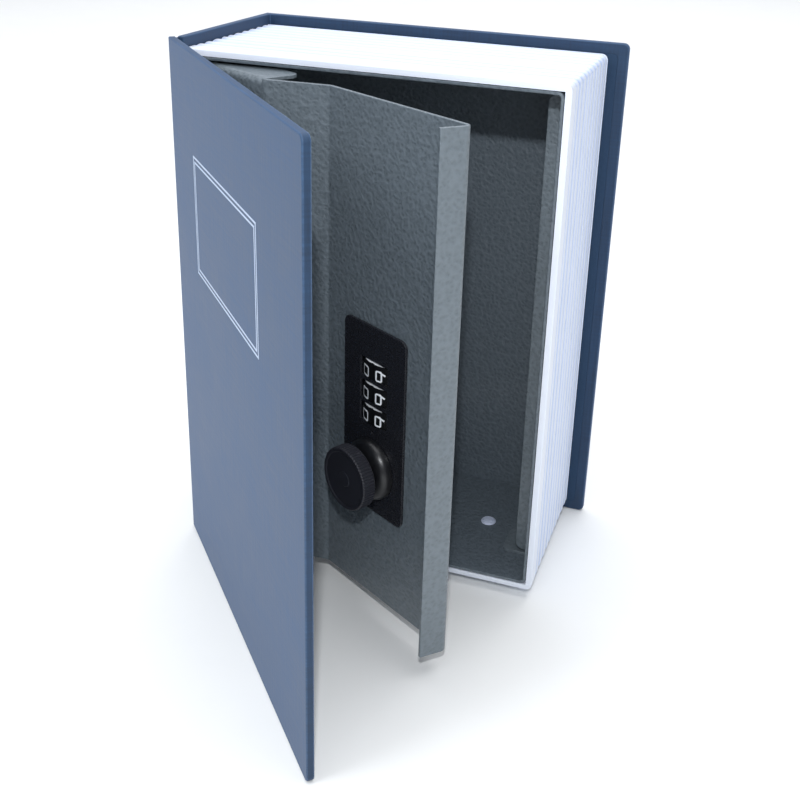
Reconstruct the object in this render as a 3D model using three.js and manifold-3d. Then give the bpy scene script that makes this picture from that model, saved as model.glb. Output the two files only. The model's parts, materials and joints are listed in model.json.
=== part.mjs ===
// Book diversion safe: a steel cash box with a hinged combination door, hidden inside a hollow book.
// Millimetres, +Z up. X runs from the spine to the fore-edge and Y from the front cover to the back cover.
// The book stands on its lower edges with the front cover and the steel door part open.
import * as THREE from 'three';
import { mergeVertices } from 'three/addons/utils/BufferGeometryUtils.js';
import Module from 'manifold-3d';

const wasm = await Module();
wasm.setup();

// Clearances
const glueLine = 0.1; // between laminated layers
const fitGap = 0.3; // between neighbours that don't move
const seatGap = 0.1; // between a piece and the face that it is fastened on
const runGap = 0.08; // between a shaft and its bore, on the radius
const overrun = 1; // how far a cutting tool runs past what it cuts

// Book case
const bookHeight = 180;
const bookWidth = 133;
const bookThickness = 66;
const boardThickness = 1.5;
const clothThickness = 0.3;
const paperThickness = 0.2;
const turnIn = 12; // cloth folded over the inside of a board
const paperMargin = 3.5; // endpaper kept back from the board's edges
const boardCorner = 1.7;
const clothCorner = 2;
const clothEdge = 0.4; // softened edge where the cloth folds round the board
const coverOpening = THREE.MathUtils.degToRad(47.2);

// Page block shell
const pageOverhang = 3.5; // the covers' overhang at head and tail
const foreEdgeOverhang = 6.4;
const shellWall = 2;
const bandWidth = 6; // plain band at the front of the page block
const bandEdge = 0.5;
const ribDepth = 0.7;
const backEdgeRadius = 1.8;
const ribWidthShares = [1.1, 0.9, 1.2, 0.8, 0.8, 1.1, 0.9, 1.1, 0.9, 1];
const ribHeightShares = [[0.1, 0.62], [0.3, 0.12], [0.5, 0], [0.7, 0.12], [0.9, 0.62]];

// Steel box
const boxSheet = 1;
const boxFit = 0.2; // between the box and the page shell
const boxCorner = 2;
const rivetDepth = 30.7; // from the box's front edge back to its rivets
const rivetInset = 20.5; // from the side walls to the rivets
const rivetHeadRadius = 2.75;
const rivetHeadHeight = 0.8;
const rivetCrownShares = [[0.9, 0.6], [0.6, 1]]; // of the head's radius and height
const rivetShankRadius = 1.6;
const rivetTailInset = 1.1; // the shank ends in a blind hole, short of the shell's outer face

// Steel door, in its closed place
const doorSheet = 1.2;
const doorSetback = 1.4; // the hinge strip's face behind the box's front edge
const doorHeadGap = 0.9;
const doorFootGap = 1;
const hingeStripEnd = 2.6; // the hinge strip's end past the pivot, towards the spine
const pivotInset = 6.6; // pivot from the left wall
const pivotSetback = 4.1; // pivot behind the hinge strip's face
const panelWidth = 60.3; // recessed panel, from the second crease to the latch edge
const joggleRun = 17.2;
const recessDepth = 11.2; // the main panel's face behind the hinge strip's face
const latchEdgeGap = 2.2; // between the latch edge's bend and the right wall
const latchFlange = 9.2;
const latchFold = THREE.MathUtils.degToRad(106);
const bendRadius = 1.6; // on the sheet's middle line
const earDepth = 14;
const earCorner = 3;
const doorOpening = THREE.MathUtils.degToRad(30);

// Hinge pins
const pinRadius = 1.6;
const pinStubRadius = 2;
const pinShoulderRadius = 2.9;
const pinHeadRadius = 2.6;
const pinHeadHeight = 1;

// Strike bracket
const strikeSheet = 1.2;
const strikeGap = 0.7; // behind the closed door
const strikeLap = 4.2; // how far the strip laps the door's edge
const strikeEndGap = 2.4;
const strikeCorner = 3;
const strikeLegDepth = 14;
const strikeTabWidth = 11;
const strikeTabDepth = 13;
const strikeTabCorner = 1.5;

// Lock: face plate and case
const lockOffset = 24; // lock centre line from the second crease
const plateWidth = 29;
const plateLap = 1.5; // how far the plate reaches past the case at its head and foot
const plateThickness = 0.8;
const plateCorner = 2.5;
const cutoutClearance = 1.4; // in the door, round the wheels and the spindle
const cutoutCorner = 1.5;
const caseWidth = 26;
const caseFlange = 1.8;
const caseWall = 1.2;
const caseCorner = 2;
const screwSpread = 8; // screws from the lock's centre line
const screwInset = 3.4; // screws from the case's head and foot
const screwClearance = 2.5; // between a screw's head and the bay or the lever's hub
const screwRadius = 1.15;
const screwHeadRadius = 2.1;
const screwHeadHeight = 1.2;
const bossRadius = 2.2;
const bossLength = 1.2;
const resetHoleRadius = 0.6;
const resetHoleRise = 12.4; // above the knob's axis

// Number wheels
const wheelCount = 3;
const wheelRadius = 11;
const wheelWidth = 5.6;
const wheelStackGap = 0.95; // between a wheel and the next sleeve's flange
const wheelProud = 1;
const wheelRise = 18.3; // bottom wheel's middle above the knob's axis
const wheelBevel = 0.4;
const wheelGrips = 10;
const gripRadius = 0.8;
const gripDepth = 0.35;
const slotClearance = 0.3;
const axleRadius = 2;
const sleeveRadius = 4.35;
const sleeveFlangeRadius = 7.5;
const sleeveFlangeWidth = 0.8;
const sleeveGateWidth = 2;
const sleeveStackGap = 0.4;
const springThickness = 0.4;
const springWidth = 7;
const springBumpRadius = 0.8;

// Knob, spindle and latch lever
const knobHeight = 56; // knob's axis above the book's foot
const knobRadius = 10.3;
const knobCoverGap = 0.7; // between the knob and the closed cover
const knobCollarGap = 1.8; // between the knob's rim and the collar
const knobEdge = 0.4;
const knobRidges = 48;
const knobRidgeDepth = 0.25;
const knobDish = 0.3;
const knobDishRadius = 9;
const knobNeckRadius = 4.8;
const collarRadius = 10.2;
const collarHeight = 4.6;
const collarTopRadius = 5.4;
const collarSteps = 6;
const spindleRadius = 3;
const spindleEmbed = 2.6; // blind end behind the knob's face
const squareSide = 4.2;
const threadRadius = 1.9;
const threadEnd = 0.6; // thread showing past the nut
const leverStandoff = 1.8; // behind the lock case's flange
const leverThickness = 1.6;
const leverLap = 2.3; // how far the lever's end goes behind the strike
const leverHubRadius = 6;
const leverTipRadius = 3.6;
const washerRadius = 5;
const washerThickness = 0.8;
const nutRadius = 4.4;
const nutThickness = 3;
const nutSides = 6;

// Facet counts
const roundSteps = 24;
const fineSteps = 40;
const cornerSteps = 4;
const bendSteps = 3;

// Places worked out from the sizes
const wrapDepth = clothThickness + glueLine + boardThickness + glueLine + clothThickness;
const coverThickness = wrapDepth + glueLine + paperThickness;
const hinge = { x: 0, y: coverThickness + fitGap / 2 };
const block = {
  left: wrapDepth + fitGap,
  right: bookWidth - foreEdgeOverhang,
  front: coverThickness + fitGap,
  back: bookThickness - coverThickness - fitGap,
  bottom: pageOverhang,
  top: bookHeight - pageOverhang,
};
const box = {
  left: block.left,
  right: block.right - shellWall - boxFit,
  bottom: block.bottom + shellWall + boxFit,
  top: block.top - shellWall - boxFit,
};
const room = {
  left: box.left + boxSheet,
  right: box.right - boxSheet,
  bottom: box.bottom + boxSheet,
  top: box.top - boxSheet,
  back: block.back - boxSheet,
};
const door = {
  face: block.front + doorSetback,
  bottom: room.bottom + doorFootGap,
  top: room.top - doorHeadGap,
};
const pivot = { x: room.left + pivotInset, y: door.face + pivotSetback };
const panelFace = door.face + recessDepth;
const panelBack = panelFace + doorSheet;
const latchEdge = room.right - latchEdgeGap;
const secondCrease = latchEdge - panelWidth;
const firstCrease = secondCrease - joggleRun;
const strikeFace = panelBack + strikeGap;
const strikeLeft = latchEdge - strikeLap;
const strikeRight = room.right - seatGap;
const lockX = secondCrease + lockOffset;
const plateBack = panelFace - seatGap;
const plateFace = plateBack - plateThickness;
const caseFront = panelBack + seatGap;
const caseFlangeBack = caseFront + caseFlange;
const wheelAxisY = plateFace - wheelProud + wheelRadius;
const wheelPitch = wheelWidth + fitGap + sleeveFlangeWidth + wheelStackGap;
const bottomWheelZ = knobHeight + wheelRise;
const topWheelZ = bottomWheelZ + (wheelCount - 1) * wheelPitch;
const sleeveRise = wheelWidth / 2 + fitGap + sleeveFlangeWidth; // wheel's middle above its sleeve's foot
const bay = {
  side: wheelRadius + fitGap,
  front: caseFront,
  back: wheelAxisY + wheelRadius + springBumpRadius + springThickness + fitGap,
  bottom: bottomWheelZ - sleeveRise - fitGap,
  top: topWheelZ - sleeveRise + wheelPitch - sleeveStackGap + fitGap,
};
const screwFootZ = knobHeight - leverHubRadius - screwClearance - screwHeadRadius;
const screwHeadZ = bay.top + caseWall + screwClearance + screwHeadRadius;
const caseBottom = screwFootZ - screwInset;
const caseTop = screwHeadZ + screwInset;
const knobFace = coverThickness + knobCoverGap;
const collarBack = plateFace - seatGap;
const collarFront = collarBack - collarHeight;
const knobRim = collarFront - knobCollarGap - knobFace;
const leverFront = caseFlangeBack + leverStandoff;
const leverBack = leverFront + leverThickness;
const washerFront = leverBack + seatGap;
const nutFront = washerFront + washerThickness + seatGap;
const nutBack = nutFront + nutThickness;
const spindleEnd = nutBack + threadEnd;
const leverLength = strikeLeft + leverLap - lockX;

// Materials
function finish(color, roughness, metalness = 0) {
  return new THREE.MeshStandardMaterial({ color, roughness, metalness });
}

const bookCloth = finish(0x44607f, 0.7);
const greyBoard = finish(0x9a948a, 0.9);
const endpaper = finish(0x3a4f6b, 0.8);
const pagePlastic = finish(0xe9eef6, 0.45);
const hammerPaint = finish(0x5c666b, 0.42, 0.35);
const zincSteel = finish(0xb4b8ba, 0.35, 0.9);
const aluminium = finish(0xc9cdd2, 0.4, 0.85);
const blackPaint = finish(0x141416, 0.38, 0.1);
const blackPlastic = finish(0x17171a, 0.45);
const springSteel = finish(0xa9adb0, 0.3, 0.95);
const brass = finish(0xb08d4a, 0.35, 0.9);

// Turns a geometry into one closed solid whose faces point out
function solidOf(geometry) {
  geometry.deleteAttribute('normal');
  geometry.deleteAttribute('uv');
  const merged = mergeVertices(geometry);
  const corners = merged.getAttribute('position').array;
  const faces = [];
  const index = merged.getIndex().array;
  for (let i = 0; i < index.length; i += 3) {
    const [a, b, c] = [index[i], index[i + 1], index[i + 2]];
    if (a !== b && b !== c && c !== a) faces.push(a, b, c);
  }
  if (signedVolume(corners, faces) < 0) faces.reverse();
  const mesh = new wasm.Mesh({
    numProp: 3,
    vertProperties: new Float32Array(corners),
    triVerts: new Uint32Array(faces),
  });
  return new wasm.Manifold(mesh);
}

function signedVolume(corners, faces) {
  const at = (i) => new THREE.Vector3().fromArray(corners, 3 * i);
  let sum = 0;
  for (let i = 0; i < faces.length; i += 3) {
    sum += at(faces[i]).dot(at(faces[i + 1]).cross(at(faces[i + 2])));
  }
  return sum;
}

function pieceOf(name, solid, material) {
  const data = solid.getMesh();
  const geometry = new THREE.BufferGeometry();
  geometry.setAttribute('position', new THREE.BufferAttribute(data.vertProperties, 3));
  geometry.setIndex(new THREE.BufferAttribute(data.triVerts, 1));
  geometry.computeVertexNormals();
  const mesh = new THREE.Mesh(geometry, material);
  mesh.name = name;
  return mesh;
}

function block3(low, high) {
  const size = high.map((value, i) => value - low[i]);
  const geometry = new THREE.BoxGeometry(...size);
  geometry.translate(...low.map((value, i) => value + size[i] / 2));
  return solidOf(geometry);
}

function roundedRectangle(x0, y0, x1, y1, radius) {
  const shape = new THREE.Shape();
  shape.absarc(x1 - radius, y0 + radius, radius, -Math.PI / 2, 0);
  shape.absarc(x1 - radius, y1 - radius, radius, 0, Math.PI / 2);
  shape.absarc(x0 + radius, y1 - radius, radius, Math.PI / 2, Math.PI);
  shape.absarc(x0 + radius, y0 + radius, radius, Math.PI, 1.5 * Math.PI);
  return shape;
}

// Extrudes an outline drawn in plan upwards
function upright(shape, bottom, top, curveSegments = cornerSteps) {
  const depth = top - bottom;
  const geometry = new THREE.ExtrudeGeometry(shape, { depth, bevelEnabled: false, curveSegments });
  geometry.translate(0, 0, bottom);
  return solidOf(geometry);
}

// Extrudes an outline drawn as seen from the front (X and Z) from one depth to another
function facing(shape, front, back, edge = 0, curveSegments = cornerSteps) {
  const geometry = new THREE.ExtrudeGeometry(shape, {
    depth: back - front - 2 * edge,
    bevelEnabled: edge > 0,
    bevelThickness: edge,
    bevelSize: edge,
    bevelOffset: -edge,
    bevelSegments: 2,
    curveSegments,
  });
  geometry.rotateX(Math.PI / 2);
  geometry.translate(0, back - edge, 0);
  return solidOf(geometry);
}

// Revolves a closed profile of [radius, height] points about an upright axis
function turned(profile, x, y, steps = roundSteps) {
  const points = profile.map(([radius, height]) => new THREE.Vector2(radius, height));
  const geometry = new THREE.LatheGeometry(points, steps);
  geometry.rotateX(Math.PI / 2);
  geometry.translate(x, y, 0);
  return solidOf(geometry);
}

// Revolves a closed profile of [radius, depth] points about an axis that runs from front to back
function turnedFacing(profile, x, z, steps = roundSteps) {
  const points = profile.map(([radius, depth]) => new THREE.Vector2(radius, depth));
  const geometry = new THREE.LatheGeometry(points, steps);
  geometry.translate(x, 0, z);
  return solidOf(geometry);
}

function rod(radius, x, y, bottom, top) {
  return turned([[0, bottom], [radius, bottom], [radius, top], [0, top]], x, y);
}

function rodFacing(radius, x, z, front, back) {
  return turnedFacing([[0, front], [radius, front], [radius, back], [0, back]], x, z);
}

function mirrorUpright(solid) {
  return solid.mirror([0, 0, 1]).translate(0, 0, bookHeight);
}

// Outline of a cover: square at the spine and rounded at the fore-edge
function coverOutline(left, margin, corner) {
  const right = bookWidth - margin;
  const top = bookHeight - margin;
  const shape = new THREE.Shape();
  shape.moveTo(left, top);
  shape.lineTo(left, margin);
  shape.absarc(right - corner, margin + corner, corner, -Math.PI / 2, 0);
  shape.absarc(right - corner, top - corner, corner, 0, Math.PI / 2);
  return shape;
}

// Cloth folded round a board: outer face, three edges and the turn-ins on the inside
function wrappedSlab(front) {
  return facing(coverOutline(0, 0, clothCorner), front, front + wrapDepth, clothEdge);
}

function boardOutline(left) {
  return coverOutline(left, clothThickness + glueLine, boardCorner);
}

function frontCloth() {
  const cavity = block3(
    [-overrun, clothThickness, clothThickness],
    [bookWidth - clothThickness, wrapDepth - clothThickness, bookHeight - clothThickness],
  );
  const window = block3(
    [-overrun, wrapDepth - clothThickness - glueLine, turnIn],
    [bookWidth - turnIn, wrapDepth + overrun, bookHeight - turnIn],
  );
  return wrappedSlab(0).subtract(cavity).subtract(window);
}

function frontBoard() {
  const front = clothThickness + glueLine;
  return facing(boardOutline(fitGap), front, front + boardThickness);
}

function paperSheet(front) {
  const outline = roundedRectangle(
    coverThickness + paperMargin,
    paperMargin,
    bookWidth - paperMargin,
    bookHeight - paperMargin,
    boardCorner,
  );
  return facing(outline, front, front + paperThickness);
}

// One cloth goes round the back board and the spine board
function caseCloth() {
  const back = wrappedSlab(bookThickness - wrapDepth);
  const spineOutline = roundedRectangle(0, block.front, wrapDepth, bookThickness, clothEdge);
  const spine = upright(spineOutline, 0, bookHeight);
  const backCavity = block3(
    [clothThickness, bookThickness - wrapDepth + clothThickness, clothThickness],
    [bookWidth - clothThickness, bookThickness - clothThickness, bookHeight - clothThickness],
  );
  const spineCavity = block3(
    [clothThickness, block.front - overrun, clothThickness],
    [wrapDepth - clothThickness, bookThickness - clothThickness, bookHeight - clothThickness],
  );
  const backWindow = block3(
    [clothThickness + glueLine, bookThickness - wrapDepth - overrun, turnIn],
    [bookWidth - turnIn, bookThickness - wrapDepth + clothThickness + glueLine, bookHeight - turnIn],
  );
  const spineWindow = block3(
    [wrapDepth - clothThickness - glueLine, block.front - overrun, turnIn],
    [wrapDepth + overrun, bookThickness - wrapDepth + glueLine, bookHeight - turnIn],
  );
  const wrap = back.add(spine).subtract(backCavity).subtract(spineCavity);
  return wrap.subtract(backWindow).subtract(spineWindow);
}

function backBoard() {
  const back = bookThickness - clothThickness - glueLine;
  return facing(boardOutline(clothThickness + glueLine), back - boardThickness, back);
}

function spineBoard() {
  const margin = clothThickness + glueLine;
  const back = bookThickness - margin - boardThickness - fitGap;
  return block3(
    [margin, block.front + glueLine, margin],
    [margin + boardThickness, back, bookHeight - margin],
  );
}

// Depth of the page block's surface below its crest, from front to back, as [place, depth] points
function ribProfile() {
  const points = [[block.front, bandEdge], [block.front + bandEdge, 0], [block.front + bandWidth, 0]];
  const ribsStart = block.front + bandWidth + ribDepth;
  const ribsEnd = block.back - backEdgeRadius;
  const unit = (ribsEnd - ribsStart) / ribWidthShares.reduce((sum, share) => sum + share, 0);
  let place = ribsStart;
  for (const widthShare of ribWidthShares) {
    points.push([place, ribDepth]);
    for (const [alongShare, depthShare] of ribHeightShares) {
      points.push([place + alongShare * widthShare * unit, depthShare * ribDepth]);
    }
    place += widthShare * unit;
  }
  for (let step = 0; step <= cornerSteps; step += 1) {
    const angle = (step / cornerSteps) * (Math.PI / 2);
    const depth = backEdgeRadius * (1 - Math.cos(angle));
    points.push([ribsEnd + backEdgeRadius * Math.sin(angle), depth]);
  }
  return points;
}

// The moulded page block: ribbed like page edges at head, fore-edge and tail, open at the spine
function pageShell() {
  const profile = ribProfile();
  const headTail = new THREE.Shape();
  profile.forEach(([y, depth]) => headTail.lineTo(y, block.top - depth));
  [...profile].reverse().forEach(([y, depth]) => headTail.lineTo(y, block.bottom + depth));
  headTail.curves.shift();
  const length = block.right - block.left;
  const headTailBar = new THREE.ExtrudeGeometry(headTail, { depth: length, bevelEnabled: false });
  const turnToX = new THREE.Matrix4().makeBasis(
    new THREE.Vector3(0, 1, 0),
    new THREE.Vector3(0, 0, 1),
    new THREE.Vector3(1, 0, 0),
  );
  headTailBar.applyMatrix4(turnToX);
  headTailBar.translate(block.left, 0, 0);
  const foreEdge = new THREE.Shape();
  foreEdge.moveTo(block.left, block.front);
  profile.forEach(([y, depth]) => foreEdge.lineTo(block.right - depth, y));
  foreEdge.lineTo(block.left, block.back);
  const foreEdgeBar = upright(foreEdge, block.bottom, block.top);
  const pocket = block3(
    [block.left - overrun, block.front - overrun, block.bottom + shellWall],
    [block.right - shellWall, block.back + overrun, block.top - shellWall],
  );
  const shell = solidOf(headTailBar).intersect(foreEdgeBar).subtract(pocket);
  return cutRivetHoles(shell);
}

// Rivets hold the box in the shell through the floor and the ceiling, two in each
function rivetPlaces() {
  const y = block.front + rivetDepth;
  return [
    { side: 'left', x: room.left + rivetInset, y },
    { side: 'right', x: room.right - rivetInset, y },
  ];
}

function cutRivetHoles(solid) {
  const bottom = block.bottom + rivetTailInset - runGap;
  const top = block.top - rivetTailInset + runGap;
  let result = solid;
  for (const { x, y } of rivetPlaces()) {
    result = result.subtract(rod(rivetShankRadius + runGap, x, y, bottom, top));
  }
  return result;
}

function floorRivet({ x, y }) {
  const seat = room.bottom + seatGap;
  const profile = [
    [0, block.bottom + rivetTailInset],
    [rivetShankRadius, block.bottom + rivetTailInset],
    [rivetShankRadius, seat],
    [rivetHeadRadius, seat],
    ...rivetCrownShares.map(([across, up]) => [rivetHeadRadius * across, seat + rivetHeadHeight * up]),
    [0, seat + rivetHeadHeight],
  ];
  return turned(profile, x, y);
}

// Folded and welded sheet box, open at the front
function steelBox() {
  const outside = roundedRectangle(box.left, box.bottom, box.right, box.top, boxCorner);
  const inside = roundedRectangle(room.left, room.bottom, room.right, room.top, boxCorner - boxSheet);
  const shell = facing(outside, block.front, block.back);
  const hollow = facing(inside, block.front - overrun, room.back);
  const pinHoles = rod(pinStubRadius + runGap, pivot.x, pivot.y, 0, bookHeight);
  return cutRivetHoles(shell.subtract(hollow).subtract(pinHoles));
}

// Strip that the latch lever turns in behind, with a leg on the wall and a tab at each end
function strikeBracket() {
  const beyond = strikeRight + strikeCorner;
  const stripOutline = roundedRectangle(
    strikeLeft,
    room.bottom + strikeEndGap,
    beyond,
    room.top - strikeEndGap,
    strikeCorner,
  );
  const tabOutline = roundedRectangle(
    strikeRight - strikeTabWidth,
    strikeFace,
    beyond,
    strikeFace + strikeTabDepth,
    strikeTabCorner,
  );
  const strip = facing(stripOutline, strikeFace, strikeFace + strikeSheet);
  const leg = block3(
    [strikeRight - strikeSheet, strikeFace, 0],
    [beyond, strikeFace + strikeLegDepth, bookHeight],
  );
  const foot = upright(tabOutline, 0, room.bottom + seatGap + strikeSheet);
  const head = mirrorUpright(foot);
  const fit = roundedRectangle(
    room.left + seatGap,
    room.bottom + seatGap,
    strikeRight,
    room.top - seatGap,
    boxCorner - boxSheet,
  );
  const insideBox = facing(fit, strikeFace - overrun, room.back);
  return strip.add(leg).add(foot).add(head).intersect(insideBox);
}

// Pin from the box into the door's ear: stub in the sheet, shoulder, shank and head
function footHingePin() {
  const earBottom = door.bottom;
  const earTop = earBottom + doorSheet;
  const profile = [
    [0, box.bottom],
    [pinStubRadius, box.bottom],
    [pinStubRadius, room.bottom + seatGap],
    [pinShoulderRadius, room.bottom + seatGap],
    [pinShoulderRadius, earBottom - fitGap],
    [pinRadius, earBottom - fitGap],
    [pinRadius, earTop + fitGap],
    [pinHeadRadius, earTop + fitGap],
    [pinHeadRadius, earTop + fitGap + pinHeadHeight],
    [0, earTop + fitGap + pinHeadHeight],
  ];
  return turned(profile, pivot.x, pivot.y);
}

function headHingePin() {
  const earTop = door.top;
  const earBottom = earTop - doorSheet;
  const profile = [
    [0, earBottom - fitGap - pinHeadHeight],
    [pinHeadRadius, earBottom - fitGap - pinHeadHeight],
    [pinHeadRadius, earBottom - fitGap],
    [pinRadius, earBottom - fitGap],
    [pinRadius, earTop + fitGap],
    [pinShoulderRadius, earTop + fitGap],
    [pinShoulderRadius, room.top - seatGap],
    [pinStubRadius, room.top - seatGap],
    [pinStubRadius, box.top],
    [0, box.top],
  ];
  return turned(profile, pivot.x, pivot.y);
}

// Outline of a sheet bent along a middle line, with an arc at each bend
function bentSheet(corners, radius, thickness) {
  const points = corners.map(([x, y]) => new THREE.Vector2(x, y));
  const stations = [];
  const across = (from, to) => {
    const direction = to.clone().sub(from).normalize();
    return new THREE.Vector2(-direction.y, direction.x);
  };
  stations.push([points[0], across(points[0], points[1])]);
  for (let i = 1; i < points.length - 1; i += 1) {
    const before = across(points[i - 1], points[i]);
    const after = across(points[i], points[i + 1]);
    const turn = Math.atan2(before.cross(after), before.dot(after));
    const middle = before.clone().add(after).normalize();
    const side = Math.sign(turn);
    const centre = points[i].clone().addScaledVector(middle, (side * radius) / Math.cos(turn / 2));
    for (let step = 0; step <= bendSteps; step += 1) {
      const normal = before.clone().rotateAround(new THREE.Vector2(), (turn * step) / bendSteps);
      stations.push([centre.clone().addScaledVector(normal, -side * radius), normal]);
    }
  }
  const last = points.length - 1;
  stations.push([points[last], across(points[last - 1], points[last])]);
  const face = (offset) => stations.map(([point, normal]) => point.clone().addScaledVector(normal, offset));
  return new THREE.Shape([...face(thickness / 2), ...face(-thickness / 2).reverse()]);
}

// Ear folded back from the hinge strip at its end, with a hole for the hinge pin
function doorEar() {
  const back = door.face + earDepth;
  const rounding = pivot.y - door.face;
  const outline = new THREE.Shape();
  outline.moveTo(firstCrease, door.face + doorSheet / 2);
  outline.lineTo(firstCrease, back - earCorner);
  outline.absarc(firstCrease - earCorner, back - earCorner, earCorner, 0, Math.PI / 2);
  outline.absarc(pivot.x, back - rounding, rounding, Math.PI / 2, Math.PI);
  outline.absarc(pivot.x, pivot.y, rounding, Math.PI, 1.5 * Math.PI);
  outline.lineTo(firstCrease - doorSheet, door.face);
  const ear = upright(outline, door.bottom, door.bottom + doorSheet);
  return ear.subtract(rod(pinRadius + runGap, pivot.x, pivot.y, 0, bookHeight));
}

// One folded sheet: hinge strip with two ears, slanted joggle, recessed panel and latch flange
function doorPanel() {
  const middle = doorSheet / 2;
  const fold = new THREE.Vector2(Math.cos(latchFold), -Math.sin(latchFold));
  const corner = [latchEdge - middle, panelFace + middle];
  const corners = [
    [pivot.x - hingeStripEnd, door.face + middle],
    [firstCrease, door.face + middle],
    [secondCrease, panelFace + middle],
    corner,
    [corner[0] + fold.x * latchFlange, corner[1] + fold.y * latchFlange],
  ];
  const sheet = upright(bentSheet(corners, bendRadius, doorSheet), door.bottom, door.top);
  const ear = doorEar();
  const opening = roundedRectangle(
    lockX - wheelHalfWidth(panelBack) - cutoutClearance,
    knobHeight - spindleRadius - cutoutClearance,
    lockX + wheelHalfWidth(panelBack) + cutoutClearance,
    topWheelZ + wheelWidth / 2 + cutoutClearance,
    cutoutCorner,
  );
  let panel = sheet.add(ear).add(ear.mirror([0, 0, 1]).translate(0, 0, door.bottom + door.top));
  panel = panel.subtract(facing(opening, panelFace - overrun, panelBack + overrun));
  for (const { x, z } of screwPlaces()) {
    panel = panel.subtract(rodFacing(bossRadius + fitGap, x, z, panelFace - overrun, panelBack + overrun));
  }
  return panel;
}

// Half the width of a number wheel where it passes through a sheet at that depth
function wheelHalfWidth(depth) {
  return Math.sqrt(wheelRadius ** 2 - (wheelAxisY - depth) ** 2);
}

function screwPlaces() {
  const sides = [lockX - screwSpread, lockX + screwSpread];
  return sides.flatMap((x) => [{ x, z: screwFootZ }, { x, z: screwHeadZ }]);
}

function wheelPlaces() {
  return Array.from({ length: wheelCount }, (_, i) => topWheelZ - i * wheelPitch);
}

// Black face plate with a slot for each number wheel and threaded bosses at the back
function lockFaceplate() {
  const outline = roundedRectangle(
    lockX - plateWidth / 2,
    caseBottom - plateLap,
    lockX + plateWidth / 2,
    caseTop + plateLap,
    plateCorner,
  );
  let plate = facing(outline, plateFace, plateBack);
  for (const { x, z } of screwPlaces()) {
    plate = plate.add(rodFacing(bossRadius, x, z, plateBack - plateThickness / 2, plateBack + bossLength));
    const pilotEnd = plateBack + bossLength + overrun;
    plate = plate.subtract(rodFacing(screwRadius + runGap, x, z, plateBack, pilotEnd));
  }
  const halfSlot = wheelHalfWidth(plateBack) + slotClearance;
  for (const z of wheelPlaces()) {
    plate = plate.subtract(block3(
      [lockX - halfSlot, plateFace - overrun, z - wheelWidth / 2 - slotClearance],
      [lockX + halfSlot, plateBack + overrun, z + wheelWidth / 2 + slotClearance],
    ));
  }
  return drillLock(plate, plateFace, plateBack);
}

// Holes on the lock's centre line for the spindle and for the code resetting pin
function drillLock(solid, front, back) {
  const resetZ = knobHeight + resetHoleRise;
  const spindleHole = rodFacing(spindleRadius + runGap, lockX, knobHeight, front - overrun, back + overrun);
  const resetHole = rodFacing(resetHoleRadius, lockX, resetZ, front - overrun, back + overrun);
  return solid.subtract(spindleHole).subtract(resetHole);
}

// Case behind the door: a flat flange with a deep bay for the wheels
function lockCase() {
  const halfFlange = caseWidth / 2;
  const halfBay = bay.side + caseWall;
  const flangeOutline = roundedRectangle(
    lockX - halfFlange,
    caseBottom,
    lockX + halfFlange,
    caseTop,
    caseCorner,
  );
  const bayOutline = roundedRectangle(
    lockX - halfBay,
    bay.bottom - caseWall,
    lockX + halfBay,
    bay.top + caseWall,
    caseCorner,
  );
  let body = facing(flangeOutline, caseFront, caseFlangeBack);
  body = body.add(facing(bayOutline, caseFront, bay.back + caseWall));
  body = body.subtract(block3(
    [lockX - bay.side, bay.front - overrun, bay.bottom],
    [lockX + bay.side, bay.back, bay.top],
  ));
  for (const { x, z } of screwPlaces()) {
    const hole = rodFacing(screwRadius + runGap, x, z, caseFront - overrun, caseFlangeBack + overrun);
    body = body.subtract(hole);
  }
  body = drillLock(body, caseFront, caseFlangeBack);
  return body.subtract(rod(axleRadius + runGap, lockX, wheelAxisY, 0, bookHeight));
}

function caseScrew({ x, z }) {
  const profile = [
    [0, plateBack + fitGap],
    [screwRadius, plateBack + fitGap],
    [screwRadius, caseFlangeBack + seatGap],
    [screwHeadRadius, caseFlangeBack + seatGap],
    [screwHeadRadius, caseFlangeBack + seatGap + screwHeadHeight / 2],
    [screwHeadRadius / 2, caseFlangeBack + seatGap + screwHeadHeight],
    [0, caseFlangeBack + seatGap + screwHeadHeight],
  ];
  return turnedFacing(profile, x, z, roundSteps / 2);
}

function sleeveSpan(wheelZ) {
  const bottom = wheelZ - sleeveRise;
  return { bottom, top: bottom + wheelPitch - sleeveStackGap };
}

// Number wheel with a grip notch between neighbouring numbers, one of them facing out
function numberWheel(z) {
  const bottom = z - wheelWidth / 2;
  const top = z + wheelWidth / 2;
  const bore = sleeveRadius + runGap;
  const profile = [
    [bore, bottom],
    [wheelRadius - wheelBevel, bottom],
    [wheelRadius, bottom + wheelBevel],
    [wheelRadius, top - wheelBevel],
    [wheelRadius - wheelBevel, top],
    [bore, top],
    [bore, bottom],
  ];
  const foot = bottom - overrun;
  const head = top + overrun;
  let wheel = turned(profile, lockX, wheelAxisY, fineSteps);
  for (let i = 0; i < wheelGrips; i += 1) {
    const angle = (2 * Math.PI * i) / wheelGrips - Math.PI / 2;
    const reach = wheelRadius + gripRadius - gripDepth;
    const x = lockX + reach * Math.cos(angle);
    const y = wheelAxisY + reach * Math.sin(angle);
    const cutter = turned(
      [[0, foot], [gripRadius, foot], [gripRadius, head], [0, head]],
      x,
      y,
      roundSteps / 2,
    );
    wheel = wheel.subtract(cutter);
  }
  return wheel;
}

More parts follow.
